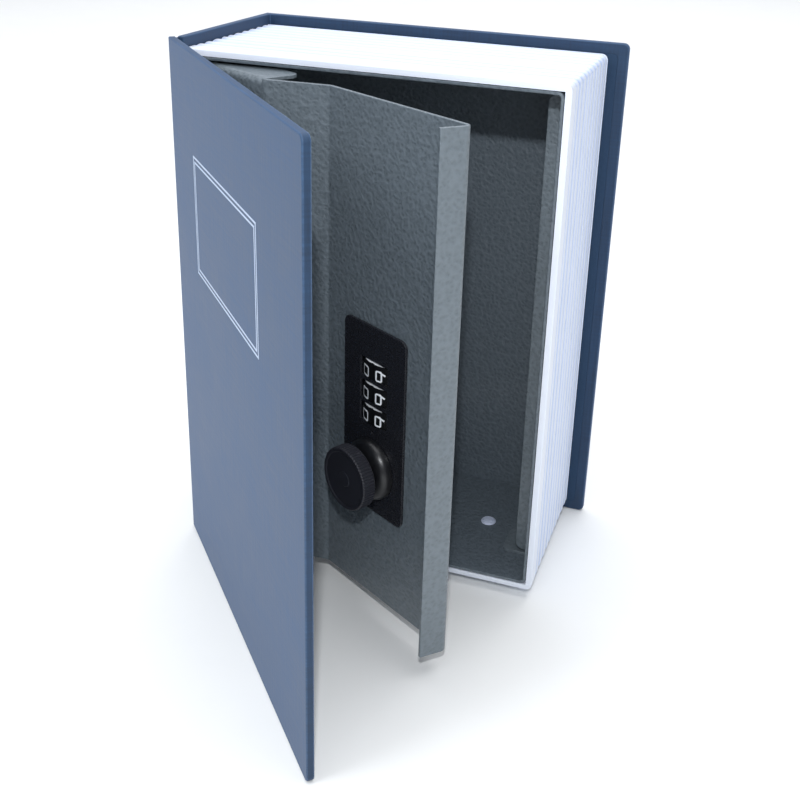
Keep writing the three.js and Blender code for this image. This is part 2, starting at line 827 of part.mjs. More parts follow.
// Sleeve inside a wheel: it carries the flange whose gate sets that wheel's code
function codeSleeve(z) {
  const { bottom, top } = sleeveSpan(z);
  const bore = axleRadius + runGap;
  const profile = [
    [bore, bottom],
    [sleeveFlangeRadius, bottom],
    [sleeveFlangeRadius, bottom + sleeveFlangeWidth],
    [sleeveRadius, bottom + sleeveFlangeWidth],
    [sleeveRadius, top],
    [bore, top],
    [bore, bottom],
  ];
  const sleeve = turned(profile, lockX, wheelAxisY);
  const halfGate = sleeveGateWidth / 2;
  const gateTop = bottom + sleeveFlangeWidth + fitGap / 2;
  const gate = block3(
    [lockX + sleeveRadius + runGap, wheelAxisY - halfGate, bottom - overrun],
    [lockX + sleeveFlangeRadius + overrun, wheelAxisY + halfGate, gateTop],
  );
  return sleeve.subtract(gate);
}

function wheelAxle() {
  return rod(axleRadius, lockX, wheelAxisY, bay.bottom - caseWall, bay.top + caseWall);
}

// Flat spring behind the wheels, with a bump that clicks into each wheel's notches
function detentSpring() {
  const back = bay.back - fitGap;
  let spring = block3(
    [lockX - springWidth / 2, back - springThickness, bay.bottom + fitGap],
    [lockX + springWidth / 2, back, bay.top - fitGap],
  );
  for (const z of wheelPlaces()) {
    const low = z - wheelWidth / 2 + wheelBevel;
    const high = z + wheelWidth / 2 - wheelBevel;
    const reach = springBumpRadius - runGap;
    const bump = turned(
      [[0, low], [reach, low], [reach, high], [0, high]],
      lockX,
      back - springThickness,
      roundSteps / 2,
    );
    const behind = block3(
      [lockX - springWidth / 2, back - springThickness / 2, low - overrun],
      [lockX + springWidth / 2, back + springBumpRadius, high + overrun],
    );
    spring = spring.add(bump.subtract(behind));
  }
  return spring;
}

// Domed collar between the face plate and the knob
function knobCollar() {
  const bore = spindleRadius + runGap;
  const profile = [[bore, collarBack]];
  for (let step = 0; step <= collarSteps; step += 1) {
    const angle = (step / collarSteps) * (Math.PI / 2);
    const radius = collarTopRadius + (collarRadius - collarTopRadius) * Math.cos(angle);
    profile.push([radius, collarBack - collarHeight * Math.sin(angle)]);
  }
  profile.push([bore, collarFront], [bore, collarBack]);
  return turnedFacing(profile, lockX, knobHeight, fineSteps);
}

// Round knob with fine ridges on its rim and a shallow dish in its face
function knob() {
  const outline = new THREE.Shape();
  for (let i = 0; i < 2 * knobRidges; i += 1) {
    const angle = (Math.PI * i) / knobRidges;
    const radius = i % 2 ? knobRadius - knobRidgeDepth : knobRadius;
    outline.lineTo(lockX + radius * Math.cos(angle), knobHeight + radius * Math.sin(angle));
  }
  outline.curves.shift();
  const rim = facing(outline, knobFace, knobFace + knobRim, knobEdge, 1);
  const neck = rodFacing(knobNeckRadius, lockX, knobHeight, knobFace + knobRim / 2, collarFront - fitGap);
  const dish = rodFacing(knobDishRadius, lockX, knobHeight, knobFace - overrun, knobFace + knobDish);
  const bore = rodFacing(
    spindleRadius + seatGap,
    lockX,
    knobHeight,
    knobFace + spindleEmbed - seatGap,
    collarFront + overrun,
  );
  return rim.add(neck).subtract(dish).subtract(bore);
}

// Spindle: round through the door, square for the lever, threaded for the nut
function spindle() {
  const round = rodFacing(spindleRadius, lockX, knobHeight, knobFace + spindleEmbed, leverFront - seatGap);
  const half = squareSide / 2;
  const square = block3(
    [lockX - half, leverFront - fitGap, knobHeight - half],
    [lockX + half, leverBack, knobHeight + half],
  );
  const thread = rodFacing(threadRadius, lockX, knobHeight, leverFront - fitGap, spindleEnd);
  return round.add(square).add(thread);
}

// Latch lever, hanging down when the lock is open
function latchLever() {
  const tipZ = knobHeight - leverLength + leverTipRadius;
  const lean = Math.asin((leverHubRadius - leverTipRadius) / (knobHeight - tipZ));
  const outline = new THREE.Shape();
  outline.absarc(lockX, knobHeight, leverHubRadius, -lean, Math.PI + lean);
  outline.absarc(lockX, tipZ, leverTipRadius, Math.PI + lean, 2 * Math.PI - lean);
  const half = squareSide / 2 + seatGap;
  const hole = block3(
    [lockX - half, leverFront - overrun, knobHeight - half],
    [lockX + half, leverBack + overrun, knobHeight + half],
  );
  return facing(outline, leverFront, leverBack, 0, roundSteps / 2).subtract(hole);
}

function leverWasher() {
  const bore = threadRadius + seatGap;
  const back = washerFront + washerThickness;
  const profile = [
    [bore, washerFront],
    [washerRadius, washerFront],
    [washerRadius, back],
    [bore, back],
    [bore, washerFront],
  ];
  return turnedFacing(profile, lockX, knobHeight);
}

function leverNut() {
  const nut = turnedFacing(
    [[0, nutFront], [nutRadius, nutFront], [nutRadius, nutBack], [0, nutBack]],
    lockX,
    knobHeight,
    nutSides,
  );
  const bore = rodFacing(threadRadius + seatGap, lockX, knobHeight, nutFront - overrun, spindleEnd + overrun);
  return nut.subtract(bore);
}

// A group whose pieces are drawn in their closed place and swung open about an upright axis
function swung(axis, opening, pieces) {
  const leaf = new THREE.Group();
  leaf.position.set(axis.x, axis.y, 0);
  leaf.rotation.z = -opening;
  const closed = new THREE.Group();
  closed.position.set(-axis.x, -axis.y, 0);
  closed.add(...pieces);
  leaf.add(closed);
  return leaf;
}

function bookCase() {
  return [
    pieceOf('case_cloth', caseCloth(), bookCloth),
    pieceOf('back_board', backBoard(), greyBoard),
    pieceOf('spine_board', spineBoard(), greyBoard),
    pieceOf('back_endpaper', paperSheet(bookThickness - coverThickness), endpaper),
    pieceOf('page_shell', pageShell(), pagePlastic),
  ];
}

function cashBox() {
  const pieces = [
    pieceOf('steel_box', steelBox(), hammerPaint),
    pieceOf('strike_bracket', strikeBracket(), hammerPaint),
    pieceOf('hinge_pin_foot', footHingePin(), zincSteel),
    pieceOf('hinge_pin_head', headHingePin(), zincSteel),
  ];
  for (const place of rivetPlaces()) {
    const rivet = floorRivet(place);
    pieces.push(pieceOf(`floor_rivet_${place.side}`, rivet, aluminium));
    pieces.push(pieceOf(`ceiling_rivet_${place.side}`, mirrorUpright(rivet), aluminium));
  }
  return pieces;
}

function frontCover() {
  return [
    pieceOf('front_cloth', frontCloth(), bookCloth),
    pieceOf('front_board', frontBoard(), greyBoard),
    pieceOf('front_endpaper', paperSheet(coverThickness - paperThickness), endpaper),
  ];
}

function lock() {
  const pieces = [
    pieceOf('lock_faceplate', lockFaceplate(), blackPaint),
    pieceOf('lock_case', lockCase(), blackPlastic),
    pieceOf('wheel_axle', wheelAxle(), zincSteel),
    pieceOf('detent_spring', detentSpring(), springSteel),
    pieceOf('knob_collar', knobCollar(), blackPaint),
    pieceOf('knob', knob(), blackPlastic),
    pieceOf('spindle', spindle(), brass),
    pieceOf('latch_lever', latchLever(), zincSteel),
    pieceOf('lever_washer', leverWasher(), zincSteel),
    pieceOf('lever_nut', leverNut(), zincSteel),
  ];
  screwPlaces().forEach((place, i) => {
    pieces.push(pieceOf(`case_screw_${i + 1}`, caseScrew(place), zincSteel));
  });
  wheelPlaces().forEach((z, i) => {
    pieces.push(pieceOf(`number_wheel_${i + 1}`, numberWheel(z), blackPlastic));
    pieces.push(pieceOf(`code_sleeve_${i + 1}`, codeSleeve(z), brass));
  });
  return pieces;
}

const book = new THREE.Group();
book.add(...bookCase(), ...cashBox());
book.add(swung(hinge, coverOpening, frontCover()));
book.add(swung(pivot, doorOpening, [pieceOf('door_panel', doorPanel(), hammerPaint), ...lock()]));

// The origin is in the middle of the back cover's lower edge
book.position.set(-bookWidth / 2, -(bookThickness - coverThickness / 2), 0);

const group = new THREE.Group();
group.add(book);

export default group;
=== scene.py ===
"""Book diversion safe, dressed for the camera.

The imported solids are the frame. Every new piece is drawn in the closed book, in millimetres, with the
book's lower corner at the spine as the origin, and is then put where it stands at rest: the front cover
and the steel door are part open. Sizes that a solid has are read from the frame.
"""

import json
import logging
import math
from collections.abc import Callable, Iterable, Mapping, Sequence
from dataclasses import dataclass, replace
from enum import Enum
from functools import partial

import bmesh
import bpy
from bmesh.types import BMEdge, BMesh, BMFace, BMVert
from bpy.types import Material, NodeSocket
from mathutils import Matrix, Vector


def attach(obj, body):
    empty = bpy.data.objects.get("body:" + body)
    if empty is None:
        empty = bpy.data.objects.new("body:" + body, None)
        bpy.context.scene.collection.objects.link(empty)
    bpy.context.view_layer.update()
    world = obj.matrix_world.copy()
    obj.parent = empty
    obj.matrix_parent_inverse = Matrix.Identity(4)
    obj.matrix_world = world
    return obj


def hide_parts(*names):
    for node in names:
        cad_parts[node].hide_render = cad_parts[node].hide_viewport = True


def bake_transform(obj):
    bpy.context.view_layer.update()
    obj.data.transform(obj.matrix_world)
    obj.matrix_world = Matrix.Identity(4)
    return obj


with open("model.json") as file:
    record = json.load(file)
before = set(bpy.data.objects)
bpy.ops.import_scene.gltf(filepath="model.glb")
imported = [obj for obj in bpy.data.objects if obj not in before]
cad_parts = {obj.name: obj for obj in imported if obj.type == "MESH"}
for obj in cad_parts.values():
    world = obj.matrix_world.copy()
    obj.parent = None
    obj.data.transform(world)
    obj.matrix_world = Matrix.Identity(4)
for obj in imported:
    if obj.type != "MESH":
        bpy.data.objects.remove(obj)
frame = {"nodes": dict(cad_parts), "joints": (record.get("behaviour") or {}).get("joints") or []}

LOG = logging.getLogger("book_safe")
MM = 0.001
FRAME_PIXELS = 800.0
SENSOR_MM = 36.0
SMOOTH_ANGLE = math.radians(32)
QUARTER = math.pi / 2
# Places closer than NEAR count as one, and corners closer than WELD are merged, in millimetres
NEAR = 0.01
WELD = 0.001
# Steps in a rounded corner, in the bend of a sheet and in a rounded edge
CORNER_STEPS = 8
BEND_STEPS = 6
EDGE_STEPS = 4
# Blender's wave texture turns by this many radians over one unit, and a noise mostly stays in this span
WAVE_TURN = 20
NOISE_SPAN = {"From Min": 0.3, "From Max": 0.7}

# Directions of the closed book
ACROSS = Vector((1, 0, 0))
DEEP = Vector((0, 1, 0))
UP = Vector((0, 0, 1))

Wanted = Callable[[Vector], bool]
Adder = Callable[..., NodeSocket]


class Slot(Enum):
    """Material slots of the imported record."""

    BOOK_CLOTH = "book_cloth"
    PAGES = "page_plastic"
    HAMMER_PAINT = "hammer_paint"
    ZINC = "zinc_steel"
    ALUMINIUM = "aluminium"
    BLACK_PAINT = "black_paint"
    BLACK_PLASTIC = "black_plastic"


class Rounded(Enum):
    """What a bevel rounds."""

    EDGES = "EDGES"
    CORNERS = "VERTICES"


# Places


@dataclass(frozen=True)
class Leaf:
    """A part of the book that is drawn closed and stands open at rest.

    Attributes:
        body: name of the frame's body that it moves with.
        pivot: a point of its hinge axis in the row frame, in metres.
        opening: angle that it stands open at rest, in radians.
        origin: the closed book's corner in the row frame, in metres.
    """

    body: str
    pivot: Vector
    opening: float
    origin: Vector

    @property
    def place(self) -> Matrix:
        """Where the leaf stands at rest.

        Returns:
            The matrix from the closed book's millimetres to metres in the row frame.
        """
        hinge = Matrix.Translation(self.pivot)
        turn = Matrix.Rotation(-self.opening, 4, "Z")
        return hinge @ turn @ hinge.inverted() @ Matrix.Translation(self.origin) @ Matrix.Scale(MM, 4)

    def box(self, node: str) -> tuple[Vector, Vector]:
        """Lowest and highest corner of a CAD node in the closed book.

        Args:
            node: name of the CAD node.

        Returns:
            The two corners, in the closed book's millimetres.
        """
        back = self.place.inverted()
        points = [back @ vertex.co for vertex in frame["nodes"][node].data.vertices]
        low, high = (Vector([end(point[i] for point in points) for i in range(3)]) for end in (min, max))
        return low, high


@dataclass(frozen=True)
class Leaves:
    """The book's three leaves: the standing part, the front cover and the steel door."""

    safe: Leaf
    cover: Leaf
    door: Leaf

    @classmethod
    def from_frame(cls) -> "Leaves":
        """Reads the hinges and the closed book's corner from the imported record.

        Returns:
            The leaves.
        """
        joints = {joint["name"]: joint for joint in frame["joints"]}
        nowhere = Vector((0, 0, 0))

        def hinged(body: str, joint: str) -> Leaf:
            """Leaf that opens on a joint, which it stands open by at rest."""
            row = joints[joint]
            return Leaf(body, Vector(row["pos_m"]), math.radians(-row["range_deg"][0]), nowhere)

        cover = hinged("front_cover", "cover_hinge")
        origin = cover.box("front_cloth")[0] * MM
        door = replace(hinged("steel_door", "door_hinge"), origin=origin)
        return cls(Leaf("safe", nowhere, 0.0, origin), replace(cover, origin=origin), door)


# Mesh tools


def block(low: Vector, high: Vector) -> BMesh:
    """Makes a box.

    Args:
        low: its lowest corner.
        high: its highest corner.

    Returns:
        The closed mesh.
    """
    mesh = bmesh.new()
    bmesh.ops.create_cube(mesh, size=1)
    size = Matrix.Diagonal((*(high - low), 1))
    bmesh.ops.transform(mesh, matrix=Matrix.Translation((low + high) / 2) @ size, verts=mesh.verts)
    return mesh


def bevel(
    mesh: BMesh, parts: Iterable, width: float, segments: int = 3, rounded: Rounded = Rounded.EDGES
) -> list:
    """Rounds edges or corners.

    Args:
        mesh: the mesh to change.
        parts: its edges or vertices to round.
        width: distance from the old edge to the new ones, in millimetres.
        segments: number of steps in the rounding.
        rounded: which of the two the parts are.

    Returns:
        The new faces.
    """
    made = bmesh.ops.bevel(
        mesh, geom=list(parts), offset=width, offset_type="OFFSET", affect=rounded.value,
        segments=segments, profile=0.5, material=-1, clamp_overlap=True,
    )
    return made["faces"]


def edges_along(mesh: BMesh, axis: Vector, keep: Wanted = lambda middle: True) -> list:
    """Finds straight edges by their direction and place.

    Args:
        mesh: the mesh to search.
        axis: direction of the edges.
        keep: says of an edge's middle whether it is wanted.

    Returns:
        The edges.
    """
    found = []
    for edge in mesh.edges:
        start, end = (vertex.co for vertex in edge.verts)
        if abs((end - start).normalized().dot(axis)) > 0.999 and keep((start + end) / 2):
            found.append(edge)
    return found


def sharp_edges(mesh: BMesh, degrees: float = 40.0, depth: float | None = None) -> list:
    """Finds the edges where two faces meet at more than an angle.

    Args:
        mesh: the mesh to search.
        degrees: the angle.
        depth: the depth in the book that both ends have, or None for any.

    Returns:
        The edges.
    """
    limit = math.radians(degrees)
    sharp = [edge for edge in mesh.edges if len(edge.link_faces) == 2 and edge.calc_face_angle(0.0) > limit]
    if depth is None:
        return sharp
    return [edge for edge in sharp if all(abs(vertex.co.y - depth) < NEAR for vertex in edge.verts)]


def facing(mesh: BMesh, direction: Vector, keep: Wanted = lambda middle: True) -> list:
    """Finds faces by the way they look and their place.

    Args:
        mesh: the mesh to search.
        direction: the way that they look.
        keep: says of a face's middle whether it is wanted.

    Returns:
        The faces.
    """
    mesh.normal_update()
    ahead = [face for face in mesh.faces if face.normal.dot(direction) > 0.99]
    return [face for face in ahead if keep(face.calc_center_median())]


def drawn_out(mesh: BMesh, made: Iterable, by: Vector, kind: type) -> list:
    """Moves what an extrusion made by a vector and picks one kind of part from it."""
    bmesh.ops.translate(mesh, verts=[part for part in made if isinstance(part, BMVert)], vec=by)
    return [part for part in made if isinstance(part, kind)]


def extrude_edges(mesh: BMesh, edges: Iterable, by: Vector) -> list:
    """Draws faces out from edges by a vector and finds the edges at the far side."""
    return drawn_out(mesh, bmesh.ops.extrude_edge_only(mesh, edges=list(edges))["geom"], by, BMEdge)


def extrude_faces(mesh: BMesh, region: list, by: Vector) -> list:
    """Draws a region of faces out and leaves its first end open.

    Args:
        mesh: the mesh to change.
        region: the faces.
        by: how far and which way, in millimetres.

    Returns:
        The faces at its far side.
    """
    far = drawn_out(mesh, bmesh.ops.extrude_face_region(mesh, geom=region)["geom"], by, BMFace)
    bmesh.ops.delete(mesh, geom=region, context="FACES")
    return far


def cut(mesh: BMesh, point: Sequence[float], normal: Vector) -> None:
    """Cuts new edges into a mesh where a plane meets it."""
    everything = [*mesh.verts, *mesh.edges, *mesh.faces]
    bmesh.ops.bisect_plane(mesh, geom=everything, plane_co=point, plane_no=normal)


@dataclass(frozen=True)
class Window:
    """A rectangle seen from the front of the closed book, in millimetres.

    Attributes:
        x: place of its middle across the book.
        z: height of its middle.
        wide: half its width.
        tall: half its height.
    """

    x: float
    z: float
    wide: float
    tall: float

    def score(self, mesh: BMesh) -> None:
        """Cuts a mesh along the rectangle's four sides.

        Args:
            mesh: the mesh to cut.
        """
        for place in (self.x - self.wide, self.x + self.wide):
            cut(mesh, (place, 0, 0), ACROSS)
        for place in (self.z - self.tall, self.z + self.tall):
            cut(mesh, (0, 0, place), UP)

    def clear(self, mesh: BMesh) -> None:
        """Deletes the faces within the rectangle.

        Args:
            mesh: the mesh, cut along the rectangle's sides.
        """
        within = []
        for face in mesh.faces:
            x, _, z = face.calc_center_median()
            if abs(x - self.x) < self.wide - NEAR and abs(z - self.z) < self.tall - NEAR:
                within.append(face)
        bmesh.ops.delete(mesh, geom=within, context="FACES")


def outward(mesh: BMesh) -> None:
    """Merges doubles and turns every face outwards."""
    bmesh.ops.remove_doubles(mesh, verts=mesh.verts, dist=WELD)
    bmesh.ops.recalc_face_normals(mesh, faces=mesh.faces)


def merge_in(mesh: BMesh, part: BMesh) -> None:
    """Adds one mesh to another.

    Args:
        mesh: the mesh that grows.
        part: the mesh that is added; it is freed here.
    """
    data = bpy.data.meshes.new("part")
    part.to_mesh(data)
    part.free()
    mesh.from_mesh(data)
    bpy.data.meshes.remove(data)


def spun(profile: Sequence[tuple[float, float]], centre: Vector, axis: Vector, steps: int) -> BMesh:
    """Turns a profile about an axis.

    Args:
        profile: points as radius and place along the axis, from one end of the axis to the other.
        centre: a point of the axis; its own place along the axis isn't used.
        axis: direction of the axis.
        steps: number of steps in the turn.

    Returns:
        The closed mesh.
    """
    mesh = bmesh.new()
    base = centre - axis * centre.dot(axis)
    chain = [mesh.verts.new(base + ACROSS * radius + axis * place) for radius, place in profile]
    edges = [mesh.edges.new(pair) for pair in zip(chain, chain[1:])]
    bmesh.ops.spin(
        mesh, geom=chain + edges, cent=base, axis=axis, angle=math.tau, steps=steps, use_merge=True,
    )
    outward(mesh)
    return mesh


def refined_copy(node: str, leaf: Leaf, width: float) -> BMesh:
    """Copies a CAD node's mesh into the closed book and rounds its edges.

    Args:
        node: name of the CAD node.
        leaf: the leaf that it belongs to.
        width: width of the rounding, in millimetres.

    Returns:
        The merged mesh.
    """
    mesh = bmesh.new()
    mesh.from_mesh(frame["nodes"][node].data)
    bmesh.ops.transform(mesh, matrix=leaf.place.inverted(), verts=mesh.verts)
    bmesh.ops.remove_doubles(mesh, verts=mesh.verts, dist=2 * WELD)
    bmesh.ops.dissolve_limit(mesh, angle_limit=math.radians(1), verts=mesh.verts, edges=mesh.edges)
    bevel(mesh, sharp_edges(mesh, 50), width, 2)
    return mesh


def mark_wear(mesh: BMesh, faces: Iterable) -> None:
    """Marks the middle of rounded edges, where a finish rubs off, in the attribute named wear.

    Args:
        mesh: the mesh to mark.
        faces: the faces that a rounding made.
    """
    layer = mesh.verts.layers.float.new("wear")
    rounded = {face for face in faces if face.is_valid}
    for vertex in {vertex for face in rounded for vertex in face.verts}:
        if all(neighbour in rounded for neighbour in vertex.link_faces):
            vertex[layer] = 1.0


def make_piece(
    name: str,
    mesh: BMesh,
    leaf: Leaf,
    slot: Slot,
    finishes: Sequence[Material],
    *stands_for: str,
    rides: bool = True,
) -> bpy.types.Object:
    """Puts a mesh in its place at rest and makes it a piece of the object.

    Args:
        name: the piece's name.
        mesh: the mesh, drawn in the closed book; it is freed here.
        leaf: the leaf that carries it.
        slot: the record's material slot of its main finish; it is not used.
        finishes: materials in the order of the mesh's material indices.
        stands_for: CAD nodes that the piece stands for.
        rides: whether it moves with the leaf's body as a whole.

    Returns:
        The new object.
    """
    bmesh.ops.transform(mesh, matrix=leaf.place, verts=mesh.verts)
    for face in mesh.faces:
        face.smooth = True
    data = bpy.data.meshes.new(name)
    mesh.to_mesh(data)
    mesh.free()
    data.set_sharp_from_angle(angle=SMOOTH_ANGLE)
    for finish in finishes:
        data.materials.append(finish)
    piece = bpy.data.objects.new(name, data)
    bpy.context.scene.collection.objects.link(piece)
    piece.modifiers.new("even_shading", "WEIGHTED_NORMAL").keep_sharp = True
    if rides:
        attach(piece, leaf.body)
    if stands_for:
        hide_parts(*stands_for)
    LOG.info("%s: %d faces on %s", name, len(data.polygons), leaf.body)
    return piece


def paint_nodes(finish: Material, *nodes: str) -> None:
    """Gives CAD nodes that stay in sight their finish.

    Args:
        finish: the material.
        nodes: names of the CAD nodes.
    """
    for node in nodes:
        materials = frame["nodes"][node].data.materials
        materials.clear()
        materials.append(finish)
        LOG.info("%s: finished as %s", node, finish.name)


# Finishes


def linear(colour: str) -> tuple[float, float, float, float]:
    """Turns an sRGB hex colour into linear values.

    Args:
        colour: six hex digits.

    Returns:
        Red, green, blue and an alpha of one.
    """
    shares = [int(colour[i : i + 2], 16) / 255 for i in (0, 2, 4)]
    red, green, blue = (s / 12.92 if s <= 0.04045 else ((s + 0.055) / 1.055) ** 2.4 for s in shares)
    return red, green, blue, 1.0


def add_node(
    tree: bpy.types.NodeTree, kind: str, inputs: Mapping, output: int | str = 0, **settings: object
) -> NodeSocket | None:
    """Adds a node to a tree.

    Args:
        tree: the node tree.
        kind: the node's type name after ShaderNode.
        inputs: for each input socket's name or index, a value or the output socket to link to it.
        output: name or index of the output that is wanted.
        settings: attributes to set on the node.

    Returns:
        The output, or None from a node that has none.
    """
    node = tree.nodes.new("ShaderNode" + kind)
    for name, value in settings.items():
        setattr(node, name, value)
    for name, value in inputs.items():
        if isinstance(value, NodeSocket):
            tree.links.new(value, node.inputs[name])
        else:
            node.inputs[name].default_value = value
    return node.outputs[output] if node.outputs else None


@dataclass(frozen=True)
class Finish:
    """What every finish has: a name, the shader's plain values and a pattern to draw.

    Attributes:
        name: the material's name.
        roughness: the surface's middle roughness.
        metallic: share of bare metal.
        turn: angle that turns the pattern with its leaf, in radians.
        gloss: further plain values for the shader.
    """

    name: str = "plain"
    roughness: float = 0.5
    metallic: float = 0.0
    turn: float = 0.0
    gloss: tuple[tuple[str, object], ...] = ()

    def pattern(self, add: Adder, place: NodeSocket) -> dict[str, NodeSocket]:
        """Draws the finish's pattern.

        Args:
            add: adds a node to the material's tree, as add_node does.
            place: coordinates in millimetres, turned with the leaf.

        Returns:
            Sockets for Base Color, Normal and, where it varies, Roughness.
        """
        raise NotImplementedError

    def build(self) -> Material:
        """Makes the material.

        Returns:
            The material, with its pattern turned with its leaf.
        """
        material = bpy.data.materials.new(self.name)
        material.use_nodes = True
        material.node_tree.nodes.clear()
        add = partial(add_node, material.node_tree)
        where = add("TexCoord", {}, "Object")
        place = add("Mapping", {"Vector": where, "Rotation": (0, 0, self.turn), "Scale": (1 / MM,) * 3})
        values = {"Roughness": self.roughness, "Metallic": self.metallic, **dict(self.gloss)}
        shader = add("BsdfPrincipled", {**values, **self.pattern(add, place)})
        add("OutputMaterial", {"Surface": shader})
        return material


@dataclass(frozen=True)
class BookCloth(Finish):
    """Blue book cloth, woven, filled and calendered smooth.

    It gives the eye a soft sheen that pales the face at a slant, long flat threads both ways, a cloudy
    dye and edges rubbed lighter. The threads are real ones of 0.3 mm drawn 0.8 mm wide, so that they show.

    Attributes:
        dye: colour where the dye is deep.
        pale: colour where it is thin.
        worn: colour of the rubbed edges.
        thread_mm: width of a thread as drawn.
        weave: how fast the threads up, and then those across, change across and up the cloth.
        thread_share: strength of the threads against the clouds in the colour.
        cloud_mm: size of the clouds in the dye.
        spread: how far the roughness falls and rises.
        relief: share of the threads' depth that shows.
        depth_mm: depth of the threads.
    """

    name: str = "book_cloth_woven"
    roughness: float = 0.6
    gloss: tuple[tuple[str, object], ...] = (
        ("Sheen Weight", 0.36), ("Sheen Roughness", 0.4), ("Sheen Tint", linear("AEC4EA")),
        ("Specular IOR Level", 0.5), ("IOR", 1.5),
    )
    dye: str = "122C46"
    pale: str = "1F3D5C"
    worn: str = "3F5C7E"
    thread_mm: float = 0.8
    weave: tuple[tuple[float, float], ...] = ((1.0, 0.045), (0.05, 1.0))
    thread_share: float = 0.9
    cloud_mm: float = 26.0
    spread: tuple[float, float] = (-0.06, 0.1)
    relief: float = 0.35
    depth_mm: float = 0.06

    def pattern(self, add: Adder, place: NodeSocket) -> dict[str, NodeSocket]:
        """Threads up and across, a cloudy dye and rubbed edges.

        Args:
            add: adds a node to the material's tree, as add_node does.
            place: coordinates in millimetres, turned with the leaf.

        Returns:
            Sockets for Base Color, Roughness and Normal.
        """
        streaks = []
        for across, up in self.weave:
            shares = (across / self.thread_mm, across / self.thread_mm, up / self.thread_mm)
            stretched = add("Mapping", {"Vector": place, "Scale": shares})
            streaks.append(add("TexNoise", {"Vector": stretched, "Scale": 1.0, "Detail": 3.0}))
        threads = add("Math", {0: streaks[0], 1: streaks[1]}, operation="ADD")
        dyeing = {"Vector": place, "Scale": 1 / self.cloud_mm, "Detail": 5.0, "Roughness": 0.6}
        cloud = add("TexNoise", dyeing)
        shade = add("Math", {0: threads, 1: self.thread_share, 2: cloud}, operation="MULTIPLY_ADD")
        spread = add("MapRange", {"Value": shade, "From Min": 1.05, "From Max": 1.75})
        dyes = {"Factor": spread, 6: linear(self.dye), 7: linear(self.pale)}
        dyed = add("Mix", dyes, 2, data_type="RGBA")
        wear = add("Attribute", {}, "Fac", attribute_name="wear")
        rub = add("Math", {0: wear, 1: streaks[1]}, operation="MULTIPLY", use_clamp=True)
        colour = add("Mix", {"Factor": rub, 6: dyed, 7: linear(self.worn)}, 2, data_type="RGBA")
        smooth, rough = (self.roughness + step for step in self.spread)
        pressed = {"From Min": 1.0, "From Max": 1.8, "To Min": smooth, "To Max": rough}
        roughness = add("MapRange", {"Value": shade, **pressed})
        bump = add("Bump", {"Height": threads, "Strength": self.relief, "Distance": self.depth_mm * MM})
        return {"Base Color": colour, "Roughness": roughness, "Normal": bump}


@dataclass(frozen=True)
class PagePlastic(Finish):
    """White polystyrene, moulded with ribs like the edges of pages.

    It gives the eye a clean white with a soft gloss and a little light through it, a bluish painted shade
    in the grooves between the ribs and faint lines along them. The lines stand for page edges of 0.1 mm
    and are drawn 1.1 mm wide, so that they show.

    Attributes:
        white: colour of the ribs.
        grooves: bluish painted shade between the ribs.
        line_mm: width of a line as drawn, light or dark.
        cloud_mm: size of the unevenness.
        cloud_share: strength of the unevenness against the painted shade of the grooves.
        relief: share of the lines' depth that shows.
        depth_mm: depth of the lines.
    """

    name: str = "page_plastic_moulded"
    roughness: float = 0.38
    gloss: tuple[tuple[str, object], ...] = (
        ("Subsurface Weight", 0.06), ("Subsurface Radius", (0.8, 0.8, 1.0)), ("Subsurface Scale", 0.3 * MM),
        ("IOR", 1.55),
    )
    white: str = "F0F5FF"
    grooves: str = "ACBFE4"
    line_mm: float = 1.1
    cloud_mm: float = 9.0
    cloud_share: float = 0.12
    relief: float = 0.05
    depth_mm: float = 0.03

    def pattern(self, add: Adder, place: NodeSocket) -> dict[str, NodeSocket]:
        """Fine lines along the page edges, a faint unevenness and painted shade in the grooves.

        Args:
            add: adds a node to the material's tree, as add_node does.
            place: coordinates in millimetres, turned with the leaf.

        Returns:
            Sockets for Base Color and Normal.
        """
        scale = math.pi / (WAVE_TURN * self.line_mm)
        lines = {"Vector": place, "Scale": scale, "Distortion": 0.3, "Detail": 2.0}
        fine = add("TexWave", lines, "Fac", bands_direction="Y")
        cloud = add("TexNoise", {"Vector": place, "Scale": 1 / self.cloud_mm, "Detail": 3.0})
        # painted shade: the grooves are tinted bluish by their depth, as shade between the ribs
        groove = add("Attribute", {}, "Fac", attribute_name="groove")
        tint = {0: cloud, 1: self.cloud_share, 2: groove}
        shade = add("Math", tint, operation="MULTIPLY_ADD", use_clamp=True)
        whites = {"Factor": shade, 6: linear(self.white), 7: linear(self.grooves)}
        colour = add("Mix", whites, 2, data_type="RGBA")
        bump = add("Bump", {"Height": fine, "Strength": self.relief, "Distance": self.depth_mm * MM})
        return {"Base Color": colour, "Normal": bump}


